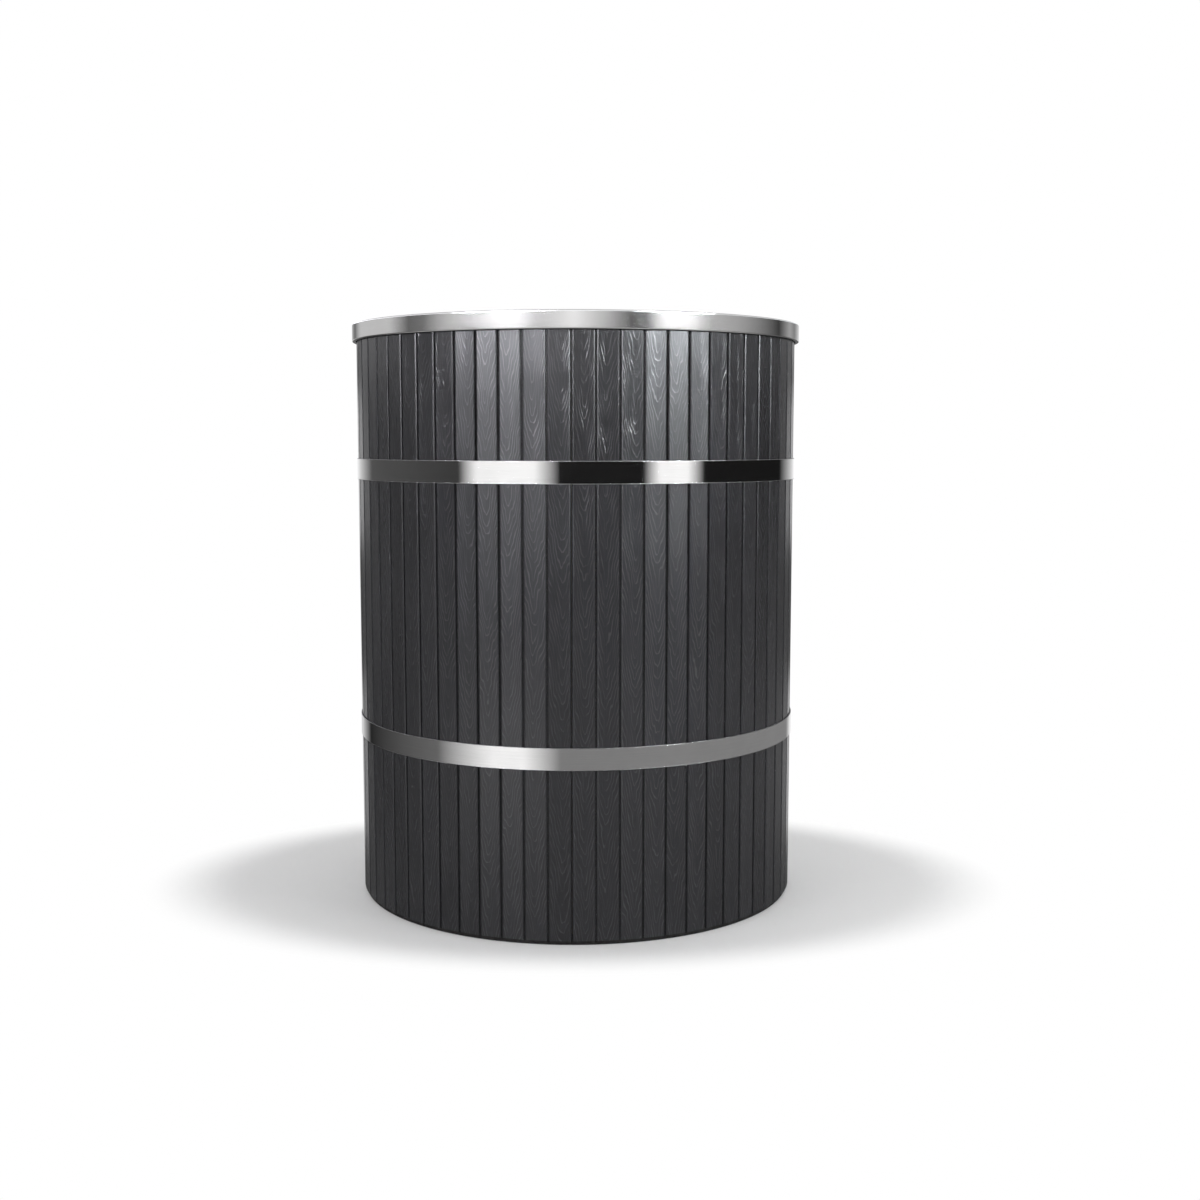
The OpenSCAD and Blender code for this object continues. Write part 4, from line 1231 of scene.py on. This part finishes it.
def light_room(stage):
    """World: white to the camera, plain to the object, and a room of panels and dark walls to what shines."""
    world = bpy.data.worlds.new("Studio")
    bpy.context.scene.world = world
    world.use_nodes = True
    tree = world.node_tree
    tree.nodes.clear()
    x, y, z = split(put(tree, "TexCoord").outputs["Generated"])
    bearing = calc("ARCTAN2", x, times(y, -1.0))
    turn = plus(calc("DIVIDE", bearing, math.tau), 0.5)

    def within(low, high, soft=0.03):
        """Share of a level strip of the room."""
        return times(between(z, low - soft, low), between(z, high + soft, high))

    wall = walls_of(tree, turn, "At band height", [
        (-180, 0.9), (-160, 0.9), (-130, 0.1), (-60, 0.05), (-50, 1.15), (-20, 1.15), (-7, 0.01), (35, 0.01),
        (44, 1.15), (59, 1.15), (69, 0.01), (132, 0.01), (165, 1.0), (180, 1.0)])
    above = walls_of(tree, turn, "At rim height", [
        (-180, 0.5), (-165, 0.5), (-152, 0.15), (-140, 0.6), (-105, 0.6), (-90, 0.15), (-80, 0.2), (-65, 0.6),
        (-52, 0.6), (-36, 1.1), (-28, 1.1), (-18, 0.6), (0, 1.0), (28, 0.15), (36, 0.15), (46, 1.1),
        (60, 1.0), (68, 0.55), (85, 0.45), (125, 0.05), (140, 0.4), (150, 0.25), (165, 0.7), (180, 0.7)])
    below = walls_of(tree, turn, "On the floor", [
        (-180, 0.7), (-158, 0.7), (-138, 0.02), (-75, 0.15), (-42, 1.1), (-26, 1.1), (-7, 0.25), (150, 0.25),
        (162, 0.9), (180, 0.7)])
    panels = walls_of(tree, turn, "Soft boxes", [
        (-180, 0.015), (-64, 0.035), (-54, 0.57), (-25, 0.57), (-8, 0.04), (29, 0.04), (45, 0.95), (64, 0.95),
        (75, 0.02), (180, 0.005)], left=(0.985, 0.985, 1.06), right=(0.95, 1.0, 1.04))
    boxes = put(tree, "VectorMath", {0: panels, "Scale": stage.boxes}, operation="SCALE").outputs[0]
    shine = blended(within(-0.24, -0.17), (0.12, 0.12, 0.12), below)
    shine = blended(within(-0.05, 0.015), shine, wall)
    for low, high, light in ((0.03, 0.06, above), (0.122, 0.162, boxes), (0.18, 0.28, (0.6, 0.6, 0.61)),
                             (-0.4, -0.6, (0.9, 0.9, 0.9))):
        shine = blended(between(z, low, high), shine, light)
    seen = put(tree, "LightPath").outputs
    plain = put(tree, "Background", {"Color": (1, 1, 1, 1), "Strength": stage.sky})
    glossy = put(tree, "Background", {"Color": shine, "Strength": 1.0})
    white = put(tree, "Background", {"Color": (1, 1, 1, 1), "Strength": 1.0})
    one = put(tree, "MixShader", {0: seen["Is Glossy Ray"], 1: plain.outputs[0], 2: glossy.outputs[0]})
    straight = plus(seen["Is Camera Ray"], seen["Is Transmission Ray"], clamp=True)
    two = put(tree, "MixShader", {0: straight, 1: one.outputs[0], 2: white.outputs[0]})
    tree.links.new(two.outputs[0], put(tree, "OutputWorld").inputs["Surface"])


def lay_floor(stage):
    """Pale floor that goes over to white away from the tub, and keeps the shadow near it."""
    floor = fresh("plane", "floor", size=30, location=(0, 0, 0))
    material = bpy.data.materials.new("Pale floor")
    material.use_nodes = True
    tree = material.node_tree
    tree.nodes.clear()
    place = object_place(tree)
    spread = stretched(place, (0.66, 1.0, 1.0))
    away = put(tree, "VectorMath", {0: spread}, operation="LENGTH").outputs["Value"]
    pale = Vector(stage.floor)
    tone = blended(noise(place, 3.0, 3.0), pale * 0.985, pale * 1.015)
    shader = put(tree, "BsdfPrincipled", {"Base Color": tone, "Roughness": 0.7})
    white = put(tree, "Emission", {"Color": (1, 1, 1, 1), "Strength": 1.0})
    seen = put(tree, "LightPath").outputs["Is Camera Ray"]
    share = times(between(away, 0.42, 0.555, 0.13, 1.0), seen)
    mixed = put(tree, "MixShader", {0: share, 1: shader.outputs[0], 2: white.outputs[0]})
    tree.links.new(mixed.outputs[0], put(tree, "OutputMaterial").inputs["Surface"])
    floor.data.materials.append(material)
    floor.visible_glossy = False


def hang_lamps(stage):
    """Three soft lamps: over the left, over the right, and above."""
    for name, (spot, size) in LAMPS.items():
        aim = Vector((0, 0, 0.6)) - Vector(spot)
        bpy.ops.object.select_all(action="DESELECT")
        bpy.ops.object.light_add(type="AREA", location=spot, rotation=aim.to_track_quat("-Z", "Y").to_euler())
        lamp = bpy.context.object
        lamp.name = f"lamp_{name}"
        lamp.data.shape, lamp.data.size, lamp.data.energy = "SQUARE", size, stage.lamp
        lamp.visible_camera = lamp.visible_glossy = False


def set_camera(stage):
    """Camera at the photograph's place."""
    bpy.ops.object.select_all(action="DESELECT")
    bpy.ops.object.camera_add(location=CAMERA_PLACE, rotation=CAMERA_TURN)
    camera = bpy.context.object
    camera.data.lens, camera.data.sensor_width = stage.lens, SENSOR
    camera.data.sensor_fit = "HORIZONTAL"
    bpy.context.scene.camera = camera
    bpy.context.scene.view_settings.view_transform = "Standard"


class TUB_OT_finishes(bpy.types.Operator):
    """Mixes the tub's materials"""

    bl_idname = "tub.finishes"
    bl_label = "Mix Finishes"

    def execute(self, context):
        mix_finishes(context.scene.tub_sizes, context.scene.tub_colours)
        return {"FINISHED"}


class TUB_OT_base(bpy.types.Operator):
    """Makes the rubber mat"""

    bl_idname = "tub.base"
    bl_label = "Base"

    def execute(self, context):
        make_base()
        return {"FINISHED"}


class TUB_OT_staves(bpy.types.Operator):
    """Makes the nine panels of staves"""

    bl_idname = "tub.staves"
    bl_label = "Staves"

    def execute(self, context):
        make_staves(context.scene.tub_sizes)
        return {"FINISHED"}


class TUB_OT_rim(bpy.types.Operator):
    """Makes the folded rim cap"""

    bl_idname = "tub.rim"
    bl_label = "Rim"

    def execute(self, context):
        make_rim(context.scene.tub_sizes)
        return {"FINISHED"}


class TUB_OT_bands(bpy.types.Operator):
    """Makes both bands with their bolts"""

    bl_idname = "tub.bands"
    bl_label = "Bands"

    def execute(self, context):
        for name, level in BAND_LEVELS.items():
            make_band(f"{name}_hoop", level, context.scene.tub_sizes)
        make_bolt_sets(context.scene.tub_sizes)
        return {"FINISHED"}


class TUB_OT_vessel(bpy.types.Operator):
    """Makes the steel vessel"""

    bl_idname = "tub.vessel"
    bl_label = "Vessel"

    def execute(self, context):
        make_vessel(context.scene.tub_sizes)
        return {"FINISHED"}


class TUB_OT_seat(bpy.types.Operator):
    """Makes the bench seat and its brackets"""

    bl_idname = "tub.seat"
    bl_label = "Seat"

    def execute(self, context):
        make_seat()
        return {"FINISHED"}


class TUB_OT_drain(bpy.types.Operator):
    """Makes the drain's strainer, cover plate, spout and cap"""

    bl_idname = "tub.drain"
    bl_label = "Drain"

    def execute(self, context):
        make_drain()
        return {"FINISHED"}


class TUB_OT_ports(bpy.types.Operator):
    """Makes the fittings of the return and suction lines"""

    bl_idname = "tub.ports"
    bl_label = "Ports"

    def execute(self, context):
        make_ports(context.scene.tub_sizes)
        return {"FINISHED"}


class TUB_OT_valves(bpy.types.Operator):
    """Makes the three ball valves"""

    bl_idname = "tub.valves"
    bl_label = "Valves"

    def execute(self, context):
        make_valves(context.scene.tub_sizes)
        return {"FINISHED"}


class TUB_OT_kept_nodes(bpy.types.Operator):
    """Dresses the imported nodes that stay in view"""

    bl_idname = "tub.kept_nodes"
    bl_label = "Kept Nodes"

    def execute(self, context):
        dress_kept_nodes()
        return {"FINISHED"}


class TUB_OT_stage(bpy.types.Operator):
    """Sets up the floor, the lamps, the room and the camera"""

    bl_idname = "tub.stage"
    bl_label = "Stage"

    def execute(self, context):
        stage = context.scene.tub_stage
        lay_floor(stage)
        light_room(stage)
        hang_lamps(stage)
        set_camera(stage)
        return {"FINISHED"}


STEPS = (TUB_OT_stage, TUB_OT_finishes, TUB_OT_base, TUB_OT_staves, TUB_OT_rim, TUB_OT_bands, TUB_OT_vessel,
         TUB_OT_seat, TUB_OT_drain, TUB_OT_ports, TUB_OT_valves, TUB_OT_kept_nodes)


class TUB_PT_panel(bpy.types.Panel):
    """Lists the sizes, the colours and the making steps of the tub"""

    bl_label = "Barrel Tub"
    bl_idname = "TUB_PT_panel"
    bl_space_type = "VIEW_3D"
    bl_region_type = "UI"
    bl_category = "Tub"

    def draw(self, context):
        for owner in (context.scene.tub_sizes, context.scene.tub_colours, context.scene.tub_stage):
            box = self.layout.box()
            for name in type(owner).__annotations__:
                box.prop(owner, name)
        for step in STEPS:
            self.layout.operator(step.bl_idname)


GROUPS = {"tub_sizes": TubSizes, "tub_colours": TubColours, "tub_stage": TubStage}


def register():
    for group_class in GROUPS.values():
        bpy.utils.register_class(group_class)
    for name, group_class in GROUPS.items():
        setattr(bpy.types.Scene, name, bpy.props.PointerProperty(type=group_class))
    for step in (*STEPS, TUB_PT_panel):
        bpy.utils.register_class(step)


def unregister():
    for step in reversed((*STEPS, TUB_PT_panel)):
        bpy.utils.unregister_class(step)
    for name, group_class in GROUPS.items():
        delattr(bpy.types.Scene, name)
        bpy.utils.unregister_class(group_class)


def main():
    register()
    for step in STEPS:
        area, name = step.bl_idname.split(".")
        getattr(getattr(bpy.ops, area), name)()


if __name__ == "__main__":
    main()
